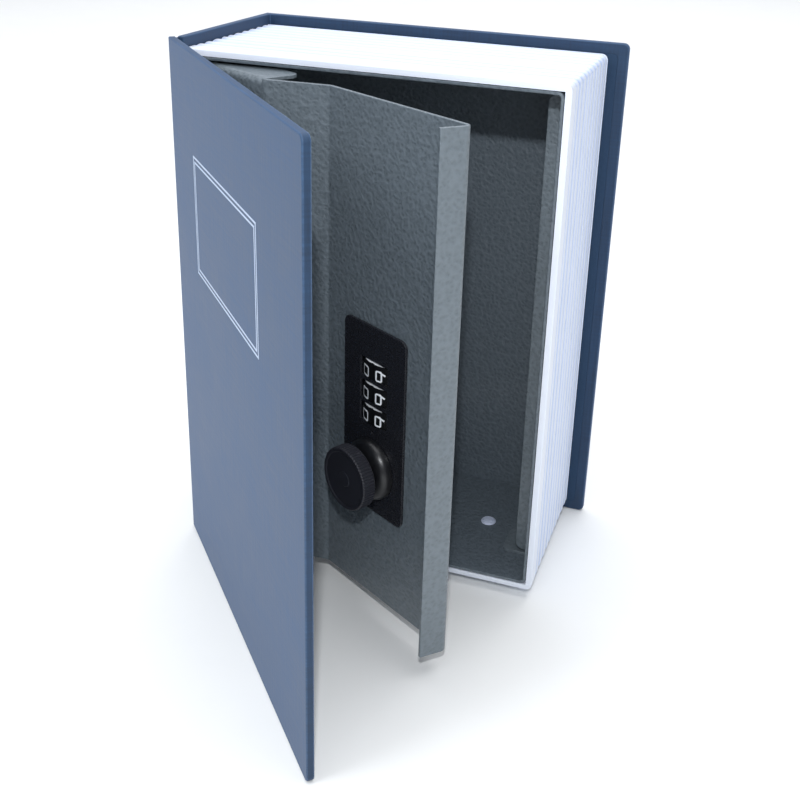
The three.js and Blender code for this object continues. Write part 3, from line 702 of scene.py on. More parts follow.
@dataclass(frozen=True)
class HammerPaint(Finish):
    """Grey hammer paint on steel, sprayed and baked, with a thin clear film over the grey.

    It gives the eye a satin grey with a metallic glint, pulled into small cells about 1.3 mm across with
    dimpled middles and raised rims, and a fine unevenness over them. The grey is painted darker in the
    dimples and lighter on the rims, as painted shade and a painted highlight.

    Attributes:
        dark: colour in the dimples, a painted shade.
        light: colour on the rims, a painted highlight.
        cell_mm: width of a cell.
        drift_cells: size of the slow drift that pulls the cells out of shape, in cells.
        pull_mm: how far it pulls them.
        grain_cells: size of the fine unevenness, in cells.
        grain_share: strength of the fine unevenness against the cells.
        spread: how far the roughness falls and rises.
        relief: share of the cells' depth that shows.
        depth_mm: depth of the cells.
    """

    name: str = "hammer_paint_sprayed"
    roughness: float = 0.46
    metallic: float = 0.1
    gloss: tuple[tuple[str, object], ...] = (("Coat Weight", 0.3), ("Coat Roughness", 0.12), ("IOR", 1.5))
    dark: str = "646E74"
    light: str = "717B82"
    cell_mm: float = 1.3
    drift_cells: float = 2.2
    pull_mm: float = 1.6
    grain_cells: float = 0.45
    grain_share: float = 0.45
    spread: tuple[float, float] = (-0.06, 0.08)
    relief: float = 0.9
    depth_mm: float = 0.3

    def pattern(self, add: Adder, place: NodeSocket) -> dict[str, NodeSocket]:
        """Cells with raised rims, with painted shade in the dimples and a painted highlight on the rims.

        Args:
            add: adds a node to the material's tree, as add_node does.
            place: coordinates in millimetres, turned with the leaf.

        Returns:
            Sockets for Base Color, Roughness and Normal.
        """
        coarse = {"Vector": place, "Scale": 1 / (self.drift_cells * self.cell_mm), "Detail": 2.0}
        drift = add("TexNoise", coarse, "Color")
        pull = {0: drift, 1: (self.pull_mm,) * 3, 2: place}
        pulled = add("VectorMath", pull, operation="MULTIPLY_ADD")
        rims = {"Vector": pulled, "Scale": 1 / self.cell_mm, "Smoothness": 0.7, "Randomness": 1.0}
        cells = add("TexVoronoi", rims, "Distance", feature="SMOOTH_F1")
        scale = 1 / (self.grain_cells * self.cell_mm)
        fine = add("TexNoise", {"Vector": place, "Scale": scale, "Detail": 4.0, "Roughness": 0.6})
        height = add("Math", {0: fine, 1: self.grain_share, 2: cells}, operation="MULTIPLY_ADD")
        # painted shade and highlight: the grey darkens in the dimples and lightens on the rims
        spread = add("MapRange", {"Value": height, "From Min": 0.3, "From Max": 0.95})
        greys = {"Factor": spread, 6: linear(self.dark), 7: linear(self.light)}
        colour = add("Mix", greys, 2, data_type="RGBA")
        smooth, rough = (self.roughness + step for step in self.spread)
        roughness = add("MapRange", {"Value": fine, **NOISE_SPAN, "To Min": smooth, "To Max": rough})
        bump = add("Bump", {"Height": height, "Strength": self.relief, "Distance": self.depth_mm * MM})
        return {"Base Color": colour, "Roughness": roughness, "Normal": bump}


@dataclass(frozen=True)
class Speckled(Finish):
    """A finish of one colour with a grain: paint, moulded plastic, print, paper, board and bare metals.

    Attributes:
        dark: colour in the hollows of the grain.
        light: colour on its tops.
        grain_mm: size of the grain.
        stretch: how far the grain is drawn out along the height, as brushing and turning leave it.
        depth_mm: depth of the grain.
        relief: share of that depth that shows.
        spread: how far the roughness falls and rises with the grain.
        detail: number of finer grains in the grain.
        fineness: strength of each finer grain.
        swirl: how far the grain is stirred.
    """

    dark: str = "000000"
    light: str = "000000"
    grain_mm: float = 0.3
    stretch: float = 1.0
    depth_mm: float = 0.01
    relief: float = 0.5
    spread: tuple[float, float] = (-0.05, 0.06)
    detail: float = 4.0
    fineness: float = 0.6
    swirl: float = 0.0

    def pattern(self, add: Adder, place: NodeSocket) -> dict[str, NodeSocket]:
        """A grain in colour, roughness and height.

        Args:
            add: adds a node to the material's tree, as add_node does.
            place: coordinates in millimetres, turned with the leaf.

        Returns:
            Sockets for Base Color, Roughness and Normal.
        """
        shares = (1 / self.grain_mm, 1 / self.grain_mm, 1 / (self.grain_mm * self.stretch))
        drawn = add("Mapping", {"Vector": place, "Scale": shares})
        stirred = {"Detail": self.detail, "Roughness": self.fineness, "Distortion": self.swirl}
        grain = add("TexNoise", {"Vector": drawn, "Scale": 1.0, **stirred})
        colours = {"Factor": grain, 6: linear(self.dark), 7: linear(self.light)}
        colour = add("Mix", colours, 2, data_type="RGBA")
        smooth, rough = (self.roughness + step for step in self.spread)
        roughness = add("MapRange", {"Value": grain, **NOISE_SPAN, "To Min": smooth, "To Max": rough})
        bump = add("Bump", {"Height": grain, "Strength": self.relief, "Distance": self.depth_mm * MM})
        return {"Base Color": colour, "Roughness": roughness, "Normal": bump}


# Endpaper, uncoated and glued down: matt, with a short flecked grain
ENDPAPER = Speckled(
    "endpaper_uncoated", 0.85, dark="1B3550", light="263F5A", grain_mm=0.9, depth_mm=0.03, relief=0.3,
    spread=(0.0, 0.0), fineness=0.5, swirl=0.6,
)
# Grey board, pressed from waste paper: matt grey with darker fibres
GREY_BOARD = Speckled(
    "grey_board_pressed", 0.9, dark="857F76", light="A8A298", grain_mm=1.6, depth_mm=0.05, relief=0.4,
    spread=(0.0, 0.0), detail=6.0, fineness=0.5, swirl=1.5,
)
# Satin black stove enamel on the lock's face plate: nearly smooth, so it takes a soft line of light
LOCK_ENAMEL = Speckled(
    "lock_enamel_baked", 0.28, dark="202126", light="26272C", grain_mm=0.5, depth_mm=0.006
)
# Black glass-filled nylon, moulded: matt with a fine spark-eroded grain, on the knob
KNOB_NYLON = Speckled(
    "knob_nylon_moulded", 0.44, dark="23242A", light="2D2E35", grain_mm=0.25, depth_mm=0.02,
    gloss=(("Specular IOR Level", 0.34),),
)
# Satin black ABS, moulded, on the collar: it takes the lights as long soft streaks
COLLAR_ABS = Speckled(
    "collar_abs_moulded", 0.34, dark="101114", light="17181B", grain_mm=0.8, depth_mm=0.003,
    gloss=(("IOR", 1.54),),
)
# Black ABS, moulded, on the number wheels and the lock's case
WHEEL_ABS = Speckled(
    "wheel_abs_moulded", 0.6, dark="0B0C0E", light="121316", gloss=(("Specular IOR Level", 0.15),)
)
# White pad-printing ink on the numbers and the wheels' ends: matt and slightly thin at its edges
NUMBER_INK = Speckled("number_ink_printed", 0.55, dark="EEF3F8", light="FCFEFF", grain_mm=0.4)
# Pale blue-white foil, pressed into the cloth, of the frame on the cover: broken a little by the weave
TITLE_FOIL = Speckled(
    "title_foil_pressed", 0.5, dark="A9BAD4", light="D3DEF0", grain_mm=0.5, stretch=2.0, depth_mm=0.03
)
# Zinc-plated steel, tumbled: bright grey with a slight haze, on pins, lever, washer, nut and screws
ZINC_PLATE = Speckled("zinc_plate_tumbled", 0.34, 0.95, dark="9A9FA2", light="C6CBCE", grain_mm=0.35)
# Aluminium, headed cold and dulled by its oxide, on the rivets: soft and pale blue-white on a nearly
# non-metal surface, a painted reflection of the bright surroundings, so that it shows nearly white from any
# side
RIVET_ALUMINIUM_SHINE = Speckled(
    "rivet_aluminium_painted_shine", 0.55, 0.1, dark="CBD6F0", light="E0E8FA", depth_mm=0.015
)
# Brass, turned, on the spindle and the code sleeves: warm yellow with a fine grain
TURNED_BRASS = Speckled("brass_turned", 0.32, 0.95, dark="A07E3E", light="C9A65C")
# Spring steel, rolled and tempered, behind the wheels: grey with a faint straw tint
SPRING_STEEL = Speckled(
    "spring_steel_rolled", 0.28, 0.95, dark="8F9190", light="B4B3AC", grain_mm=0.25, stretch=6.0,
    depth_mm=0.005,
)
# Coated studio paper, the floor: matt white with slow clouds
STUDIO_PAPER = Speckled("studio_paper_coated", 0.8, dark="F4F4F1", light="F8F8F5", grain_mm=40.0)


# Sub-assemblies


@dataclass
class BookCase:
    """Cloth-covered boards with their endpapers, the cloth joint and the printed title frame.

    Attributes:
        leaves: the book's leaves.
        cloth: thickness of the cloth.
        turn_in: width of cloth folded over the inside of a board.
        corner: radius of a cover's fore-edge corners.
        edge: rounding where the cloth folds round a board.
        title_low: lower corner of the title frame across and up the closed book.
        title_high: upper corner of the title frame.
        title_line: width of one line of the frame.
        title_gap: gap between its two lines.
        title_height: how far the foil stands on the cloth.
        joint_reach: how far the joint's cloth reaches on each side of the hinge.
        joint_bend: how far from the hinge it bends.
        joint_cuts: number of cuts that it bends at.
    """

    leaves: Leaves
    cloth: float = 0.3
    turn_in: float = 12.0
    corner: float = 2.0
    edge: float = 0.5
    title_low: tuple[float, float] = (28.0, 110.8)
    title_high: tuple[float, float] = (95.6, 148.8)
    title_line: float = 0.85
    title_gap: float = 0.6
    title_height: float = 0.04
    joint_reach: float = 1.7
    joint_bend: float = 1.02
    joint_cuts: int = 20

    def wrap(self, mesh: BMesh, inside: list, right: float) -> BMesh:
        """Leaves the boards' inside bare within the turned-in cloth, rounds its folds and thickens it.

        Args:
            mesh: the outer surface of the cloth as a closed form.
            inside: its faces on the inside of the boards.
            right: place of the fore-edge.

        Returns:
            The same mesh.
        """
        for face in inside:
            bmesh.ops.inset_individual(mesh, faces=[face], thickness=self.turn_in, use_even_offset=True)
            bmesh.ops.delete(mesh, geom=[face], context="FACES")
        upright = edges_along(mesh, DEEP, lambda middle: middle.x > right - NEAR)
        bevel(mesh, upright, self.corner, CORNER_STEPS)
        mark_wear(mesh, bevel(mesh, sharp_edges(mesh), self.edge, EDGE_STEPS))
        bmesh.ops.solidify(mesh, geom=mesh.faces, thickness=self.cloth)
        return mesh

    def front_cover(self) -> BMesh:
        """Cloth round the front board.

        Returns:
            The closed mesh.
        """
        low, high = self.leaves.cover.box("front_cloth")
        mesh = block(low, high)
        return self.wrap(mesh, facing(mesh, DEEP), high.x)

    def case(self) -> BMesh:
        """One cloth round the back board and the spine board.

        Returns:
            The closed mesh.
        """
        low, high = self.leaves.safe.box("case_cloth")
        cover_low, cover_high = self.leaves.cover.box("front_cloth")
        thick = cover_high.y - cover_low.y
        inner, front = low.x + thick, high.y - thick
        mesh = block(Vector((low.x, front, low.z)), high)
        cut(mesh, (inner, 0, 0), ACROSS)
        spine = facing(mesh, -DEEP, lambda middle: middle.x < inner)
        extrude_faces(mesh, spine, DEEP * (low.y - front))
        inside = facing(mesh, -DEEP, lambda middle: middle.x > inner)
        inside += facing(mesh, ACROSS, lambda middle: middle.x < inner + 1)
        return self.wrap(mesh, inside, high.x)

    def joint(self) -> BMesh:
        """The strip of cloth between the spine and the front cover, drawn closed and then bent.

        Returns:
            The closed mesh, bent as it stands at rest.
        """
        low, high = self.leaves.cover.box("front_cloth")
        hinge = self.leaves.safe.place.inverted() @ self.leaves.cover.pivot
        start = Vector((low.x - self.cloth, hinge.y - self.joint_reach, low.z + self.edge))
        mesh = block(start, Vector((low.x, hinge.y + self.joint_reach, high.z - self.edge)))
        bmesh.ops.subdivide_edges(mesh, edges=edges_along(mesh, DEEP), cuts=self.joint_cuts)
        for vertex in mesh.verts:
            share = ((hinge.y - vertex.co.y) / self.joint_bend + 1) / 2
            share = min(1.0, max(0.0, share))
            bend = Matrix.Rotation(-self.leaves.cover.opening * share * share * (3 - 2 * share), 3, "Z")
            bmesh.ops.rotate(mesh, verts=[vertex], cent=hinge, matrix=bend)
        return mesh

    def title_frame(self) -> BMesh:
        """Two fine lines round the place of the title, one inside the other.

        Returns:
            The two lines as one mesh.
        """
        front = self.leaves.cover.box("front_cloth")[0].y
        mesh = bmesh.new()
        for margin in (0.0, self.title_line + self.title_gap):
            left, foot = (place + margin for place in self.title_low)
            right, head = (place - margin for place in self.title_high)
            ring = block(Vector((left, front - self.title_height, foot)), Vector((right, front, head)))
            inner = facing(ring, DEEP) + facing(ring, -DEEP)
            bmesh.ops.inset_individual(ring, faces=inner, thickness=self.title_line)
            rims = [edge for face in inner for edge in face.edges]
            bmesh.ops.delete(ring, geom=inner, context="FACES_ONLY")
            bmesh.ops.bridge_loops(ring, edges=rims)
            outward(ring)
            merge_in(mesh, ring)
        return mesh

    def dress(self) -> None:
        """Makes the pieces and finishes the nodes that stay."""
        safe, cover = self.leaves.safe, self.leaves.cover
        still = BookCloth().build()
        turned = BookCloth(name="book_cloth_woven_front", turn=cover.opening).build()
        make_piece("case_cover", self.case(), safe, Slot.BOOK_CLOTH, [still], "case_cloth")
        make_piece("front_cover_cloth", self.front_cover(), cover, Slot.BOOK_CLOTH, [turned], "front_cloth")
        joint = make_piece("joint_cloth", self.joint(), safe, Slot.BOOK_CLOTH, [still], rides=False)
        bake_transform(joint)
        make_piece("title_frame", self.title_frame(), cover, Slot.PAGES, [TITLE_FOIL.build()])
        paint_nodes(ENDPAPER.build(), "back_endpaper")
        paint_nodes(replace(ENDPAPER, name="endpaper_front", turn=cover.opening).build(), "front_endpaper")
        paint_nodes(GREY_BOARD.build(), "back_board", "spine_board", "front_board")


@dataclass
class PageBlock:
    """The moulded shell whose ribs look like the edges of pages.

    Attributes:
        leaves: the book's leaves.
        wall: thickness of the shell at its crests.
        band: width of the plain band at the front.
        band_edge: rounding of the band's front edge.
        rib_depth: depth of the grooves between the ribs.
        back_radius: rounding at the back edge.
        corner: radius of the two fore-edge corners.
        rib_shares: widths of the ribs from front to back, as shares.
        rib_power: how flat a rib's crest is; 2 is a parabola.
        groove_shade_power: how wide the painted shade in the grooves is; less is wider.
        cuts: number of points along the profile.
    """

    leaves: Leaves
    wall: float = 2.0
    band: float = 6.0
    band_edge: float = 0.45
    rib_depth: float = 0.7
    back_radius: float = 1.8
    corner: float = 2.2
    rib_shares: tuple[float, ...] = (1.1, 0.9, 1.2, 0.8, 0.8, 1.1, 0.9, 1.1, 0.9, 1.0)
    rib_power: float = 2.4
    groove_shade_power: float = 0.6
    cuts: int = 240

    def rounded(self, into: float, radius: float) -> float:
        """Depth of a rounded edge at a way into its rounding of a radius."""
        share = min(1.0, into / radius)
        return radius * (1 - math.sqrt(1 - share * share))

    def depth_at(self, place: float, front: float, back: float) -> float:
        """Depth of the surface below its crests.

        Args:
            place: distance from the front of the book, in millimetres.
            front: the shell's front.
            back: the shell's back.

        Returns:
            The depth, in millimetres.
        """
        band_end, ribs_end = front + self.band, back - self.back_radius
        slope = self.rib_depth / 2
        if place < front + self.band_edge:
            return self.rounded(front + self.band_edge - place, self.band_edge)
        if place > ribs_end:
            return self.rounded(place - ribs_end, self.back_radius)
        if place < band_end + slope:
            return max(0.0, self.rib_depth * (place - band_end) / slope)
        edge = band_end + slope
        unit = (ribs_end - edge) / sum(self.rib_shares)
        for share in self.rib_shares:
            if place <= edge + share * unit:
                along = (place - edge) / (share * unit)
                return self.rib_depth * abs(2 * along - 1) ** self.rib_power
            edge += share * unit
        return 0.0

    def shell(self) -> BMesh:
        """Draws the ribbed profile along the head, round the fore-edge and back along the tail.

        Returns:
            The closed mesh, with the depth of the grooves kept in a vertex attribute for their painted shade.
        """
        low, high = self.leaves.safe.box("page_shell")
        mesh = bmesh.new()
        inner = high.z - self.wall
        plan = ((low.y, inner), (high.y, inner), (high.y, high.z), (low.y, high.z))
        cap = mesh.faces.new([mesh.verts.new((low.x, place, height)) for place, height in plan])
        outer = [edge for edge in cap.edges if all(vertex.co.z > high.z - NEAR for vertex in edge.verts)]
        bmesh.ops.subdivide_edges(mesh, edges=outer, cuts=self.cuts)
        groove = mesh.verts.layers.float.new("groove")
        for vertex in mesh.verts:
            if vertex.co.z > high.z - NEAR:
                depth = self.depth_at(vertex.co.y, low.y, high.y)
                vertex.co.z -= depth
                # painted shade: the grooves get bluish shade by their depth, and the plain band at the front
                # gets none
                if vertex.co.y > low.y + self.band:
                    vertex[groove] = min(1.0, depth / self.rib_depth) ** self.groove_shade_power
        right = high.x - self.corner
        edges = extrude_edges(mesh, list(mesh.edges), Vector((right - low.x, 0, 0)))
        edges = self.turn(mesh, edges, Vector((right, 0, high.z - self.corner)))
        edges = extrude_edges(mesh, edges, Vector((0, 0, low.z - high.z + 2 * self.corner)))
        edges = self.turn(mesh, edges, Vector((right, 0, low.z + self.corner)))
        edges = extrude_edges(mesh, edges, Vector((low.x - right, 0, 0)))
        bmesh.ops.contextual_create(mesh, geom=edges)
        outward(mesh)
        return mesh

    def turn(self, mesh: BMesh, edges: list, centre: Vector) -> list:
        """Turns the profile through a quarter turn round a corner of the page block.

        Args:
            mesh: the shell.
            edges: the profile's edges where it has come to.
            centre: a point of the corner's axis.

        Returns:
            The profile's edges after the turn.
        """
        corner = {vertex for edge in edges for vertex in edge.verts}
        made = bmesh.ops.spin(
            mesh, geom=[*corner, *edges], cent=centre, axis=DEEP, angle=QUARTER, steps=CORNER_STEPS,
        )
        return [part for part in made["geom_last"] if isinstance(part, BMEdge)]

    def dress(self) -> None:
        """Makes the shell."""
        plastic = PagePlastic().build()
        make_piece("page_block", self.shell(), self.leaves.safe, Slot.PAGES, [plastic], "page_shell")


@dataclass
class CashBox:
    """Steel box with its strike, rivets and hinge pins.

    Attributes:
        leaves: the book's leaves.
        sheet: thickness of the box's sheet.
        corner: radius of its long corners.
        rim: rounding of its painted rim.
        rivet_head: height of a rivet's head.
        rivet_shank: radius of its shank, as a share of the head's radius.
        rivet_ring: radius of the ring pressed in its head, as a share of the head's radius.
        rivet_steps: number of steps round a rivet.
        strike_edge: rounding of the strike's edges.
        pin_edge: rounding of the hinge pins' edges.
    """

    leaves: Leaves
    sheet: float = 1.0
    corner: float = 2.0
    rim: float = 0.25
    rivet_head: float = 0.8
    rivet_shank: float = 0.58
    rivet_ring: float = 0.62
    rivet_steps: int = 40
    strike_edge: float = 0.3
    pin_edge: float = 0.15

    def box(self) -> BMesh:
        """Folded box, open at the front.

        Returns:
            The closed mesh.
        """
        low, high = self.leaves.safe.box("steel_box")
        mesh = block(low, high)
        bevel(mesh, edges_along(mesh, DEEP), self.corner, CORNER_STEPS)
        back_edges = {edge for face in facing(mesh, DEEP) for edge in face.edges}
        bevel(mesh, back_edges, self.corner / 2, EDGE_STEPS)
        bmesh.ops.delete(mesh, geom=facing(mesh, -DEEP), context="FACES_ONLY")
        bmesh.ops.recalc_face_normals(mesh, faces=mesh.faces)
        bmesh.ops.solidify(mesh, geom=mesh.faces, thickness=self.sheet)
        bevel(mesh, sharp_edges(mesh, depth=low.y), self.rim)
        return mesh

    def rivet(self, node: str) -> BMesh:
        """Domed rivet with a ring pressed in its head.

        Args:
            node: the CAD node that it stands for.

        Returns:
            The closed mesh.
        """
        low, high = self.leaves.safe.box(node)
        radius = (high.x - low.x) / 2
        shank, ring = radius * self.rivet_shank, radius * self.rivet_ring
        tip, base, way = (high.z, low.z, 1) if node.startswith("floor") else (low.z, high.z, -1)
        # The head as radius and depth below its tip
        head = (
            (shank, self.rivet_head), (radius, self.rivet_head), (radius, 0.65), (radius * 0.93, 0.38),
            (radius * 0.82, 0.2), (ring + 0.25, 0.08), (ring + 0.1, 0.1), (ring, 0.22), (ring - 0.1, 0.08),
            (ring - 0.35, 0.0), (0.0, 0.0),
        )
        profile = [(0.0, base), (shank, base), *((across, tip - way * depth) for across, depth in head)]
        return spun(profile, (low + high) / 2, UP, self.rivet_steps)

    def dress(self) -> None:
        """Makes the box's pieces."""
        safe = self.leaves.safe
        # painted shade: the box's hammer paint is darker than the door's and the strike's, for the shade
        # inside the box
        shaded_box_paint = HammerPaint(name="hammer_paint_box_shaded", dark="5B656D", light="68727A").build()
        make_piece("cash_box", self.box(), safe, Slot.HAMMER_PAINT, [shaded_box_paint], "steel_box")
        strike = refined_copy("strike_bracket", safe, self.strike_edge)
        strike_paint = HammerPaint(name="hammer_paint_strike").build()
        make_piece("strike_strip", strike, safe, Slot.HAMMER_PAINT, [strike_paint], "strike_bracket")
        zinc = ZINC_PLATE.build()
        for node in ("hinge_pin_foot", "hinge_pin_head"):
            pin = refined_copy(node, safe, self.pin_edge)
            make_piece(node + "_turned", pin, safe, Slot.ZINC, [zinc], node)
        # the rivets' pale colour is a painted reflection of the bright surroundings
        aluminium = RIVET_ALUMINIUM_SHINE.build()
        for place in ("floor", "ceiling"):
            for side in ("left", "right"):
                node = f"{place}_rivet_{side}"
                make_piece(node + "_headed", self.rivet(node), safe, Slot.ALUMINIUM, [aluminium], node)


@dataclass
class SteelDoor:
    """The folded door: hinge strip with ears, slanted joggle, recessed panel and latch flange.

    Attributes:
        leaves: the book's leaves.
        sheet: thickness of the sheet.
        face: depth of the hinge strip's middle line, closed.
        panel: depth of the recessed panel's middle line.
        hinge_end: left end of the hinge strip.
        relief: width of the strip beside the first crease that the ears leave free.
        creases: places of the two creases across the book.
        latch: place of the middle line at the latch edge.
        flange: length of the latch flange.
        fold: angle of the latch flange from the panel's line, in degrees.
        bend: radius of the bends.
        ear_depth: depth of the ears from the door's face.
        ear_corner: radius of an ear's corner beside the joggle.
        ear_end: radius of its corner at the hinge.
        clearance: how far the lock's opening goes past the spindle and the wheels.
        window_width: width of that opening.
        deburr: rounding of the sheet's cut edges.
    """

    leaves: Leaves
    sheet: float = 1.2
    face: float = 4.9
    panel: float = 16.1
    hinge_end: float = 7.6
    relief: float = 0.9
    creases: tuple[float, float] = (43.7, 60.9)
    latch: float = 120.6
    flange: float = 9.2
    fold: float = 106.0
    bend: float = 1.6
    ear_depth: float = 14.0
    ear_corner: float = 3.0
    ear_end: float = 4.0
    clearance: float = 1.4
    window_width: float = 18.1
    deburr: float = 0.22

    def chain(self, mesh: BMesh, height: float) -> list:
        """Draws the middle line of the folded sheet in plan.

        Args:
            mesh: the door's surface.
            height: the height that it is drawn at.

        Returns:
            Its edges, from the hinge to the end of the flange.
        """
        fold = math.radians(self.fold)
        flange_end = (self.latch + self.flange * math.cos(fold), self.panel - self.flange * math.sin(fold))
        first, second = self.creases
        plan = (
            (self.hinge_end, self.face), (first - self.relief, self.face), (first, self.face),
            (second, self.panel), (self.latch, self.panel), flange_end,
        )
        chain = [mesh.verts.new((x, y, height)) for x, y in plan]
        return [mesh.edges.new(pair) for pair in zip(chain, chain[1:])]

    def sheet_metal(self) -> BMesh:
        """The whole sheet, folded and rounded.

        Returns:
            The surface through its middle, which has no thickness yet.
        """
        low, high = self.leaves.door.box("door_panel")
        margin = self.sheet / 2 + self.bend
        mesh = bmesh.new()
        start = self.chain(mesh, low.z + margin)
        extrude_edges(mesh, start[1:], UP * -margin)
        head_line = extrude_edges(mesh, start, UP * (high.z - low.z - 2 * margin))
        hinge_head = min(head_line, key=lambda edge: sum(vertex.co.x for vertex in edge.verts))
        extrude_edges(mesh, [edge for edge in head_line if edge is not hinge_head], UP * margin)
        self.ear(mesh, start[0], 1)
        self.ear(mesh, hinge_head, -1)
        outward(mesh)
        self.cut_window(mesh)
        self.round_creases(mesh)
        return mesh

    def ear(self, mesh: BMesh, edge: BMEdge, way: int) -> None:
        """Folds an ear back from an end of the hinge strip.

        Args:
            mesh: the door's surface.
            edge: the end of the hinge strip.
            way: 1 for the foot and -1 for the head.
        """
        centre = Vector((0, self.face + self.bend, edge.verts[0].co.z))
        made = bmesh.ops.spin(
            mesh, geom=[*edge.verts, edge], cent=centre, axis=ACROSS, angle=way * QUARTER, steps=BEND_STEPS,
        )
        last = [part for part in made["geom_last"] if isinstance(part, BMEdge)]
        far = extrude_edges(mesh, last, DEEP * (self.ear_depth - self.bend - self.sheet / 2))
        ends = sorted((vertex for part in far for vertex in part.verts), key=lambda vertex: vertex.co.x)
        for vertex, radius in zip(ends, (self.ear_end, self.ear_corner)):
            bevel(mesh, [vertex], radius, CORNER_STEPS, Rounded.CORNERS)

    def cut_window(self, mesh: BMesh) -> None:
        """Cuts the opening that the wheels and the spindle pass through.

        Args:
            mesh: the door's surface.
        """
        spindle_low, spindle_high = self.leaves.door.box("spindle")
        bottom = spindle_low.z - self.clearance
        top = self.leaves.door.box("number_wheel_1")[1].z + self.clearance
        middle = (spindle_low.x + spindle_high.x) / 2
        window = Window(middle, (bottom + top) / 2, self.window_width / 2, (top - bottom) / 2)
        window.score(mesh)
        window.clear(mesh)

    def round_creases(self, mesh: BMesh) -> None:
        """Rounds the three upright folds to the bend's radius.

        Args:
            mesh: the door's surface.
        """
        first, second = self.creases
        slant = math.atan2(self.panel - self.face, second - first)
        folds = ((first, slant), (second, slant), (self.latch, math.radians(self.fold)))
        for place, turn in folds:
            edges = edges_along(mesh, UP, lambda middle, place=place: abs(middle.x - place) < NEAR)
            bevel(mesh, edges, self.bend * math.tan(turn / 2), BEND_STEPS)

    def dress(self) -> None:
        """Makes the door."""
        leaf = self.leaves.door
        paint = HammerPaint(name="hammer_paint_door", turn=leaf.opening).build()
        door = make_piece("door_sheet", self.sheet_metal(), leaf, Slot.HAMMER_PAINT, [paint], "door_panel")
        wall = door.modifiers.new("sheet", "SOLIDIFY")
        wall.thickness = self.sheet * MM
        wall.offset = 0.0
        wall.use_even_offset = True
        edge = door.modifiers.new("deburred", "BEVEL")
        edge.width = self.deburr * MM
        edge.segments = 2
        edge.limit_method = "ANGLE"
        edge.angle_limit = math.radians(55)
        edge.use_clamp_overlap = True
        door.modifiers.move(0, len(door.modifiers) - 1)


def rounded_shares(low: float, high: float) -> tuple[tuple[float, float], ...]:
    """A number's closed bowl: a rectangle with cut corners, in shares of the number's box.

    Args:
        low: its foot, as a share of the number's height.
        high: its head.

    Returns:
        The bowl's points in order.
    """
    wide, tall = 0.1, 0.14 * (high - low)
    return (
        (wide, low), (1 - wide, low), (1, low + tall), (1, high - tall),
        (1 - wide, high), (wide, high), (0, high - tall), (0, low + tall),
    )


# The numbers' strokes: whether each is closed, and its points in shares of the number's box
DIGIT_STROKE_SHARES = {
    "0": ((True, rounded_shares(0.0, 1.0)),),
    "1": ((False, ((0.25, 0.78), (0.55, 1.0), (0.55, 0.0))),),
    "2": ((False, ((0.0, 0.8), (0.18, 1.0), (0.82, 1.0), (1.0, 0.8), (1.0, 0.62), (0.0, 0.0), (1.0, 0.0))),),
    "3": (
        (False, ((0.0, 0.85), (0.18, 1.0), (0.82, 1.0), (1.0, 0.84), (1.0, 0.66), (0.82, 0.52), (0.4, 0.52))),
        (False, ((0.82, 0.52), (1.0, 0.38), (1.0, 0.16), (0.82, 0.0), (0.18, 0.0), (0.0, 0.15))),
    ),
    "4": ((False, ((0.78, 0.0), (0.78, 1.0), (0.0, 0.28), (1.0, 0.28))),),
    "5": (
        (False, ((0.95, 1.0), (0.1, 1.0), (0.05, 0.56), (0.75, 0.6), (1.0, 0.44), (1.0, 0.16), (0.82, 0.0),
                 (0.18, 0.0), (0.0, 0.14))),
    ),
    "6": ((True, rounded_shares(0.0, 0.6)), (False, ((0.0, 0.36), (0.3, 1.0)))),
    "7": ((False, ((0.0, 1.0), (1.0, 1.0), (0.35, 0.0))),),
    "8": ((True, rounded_shares(0.0, 0.51)), (True, rounded_shares(0.54, 1.0))),
    "9": ((True, rounded_shares(0.4, 1.0)), (False, ((1.0, 0.64), (0.7, 0.0)))),
}


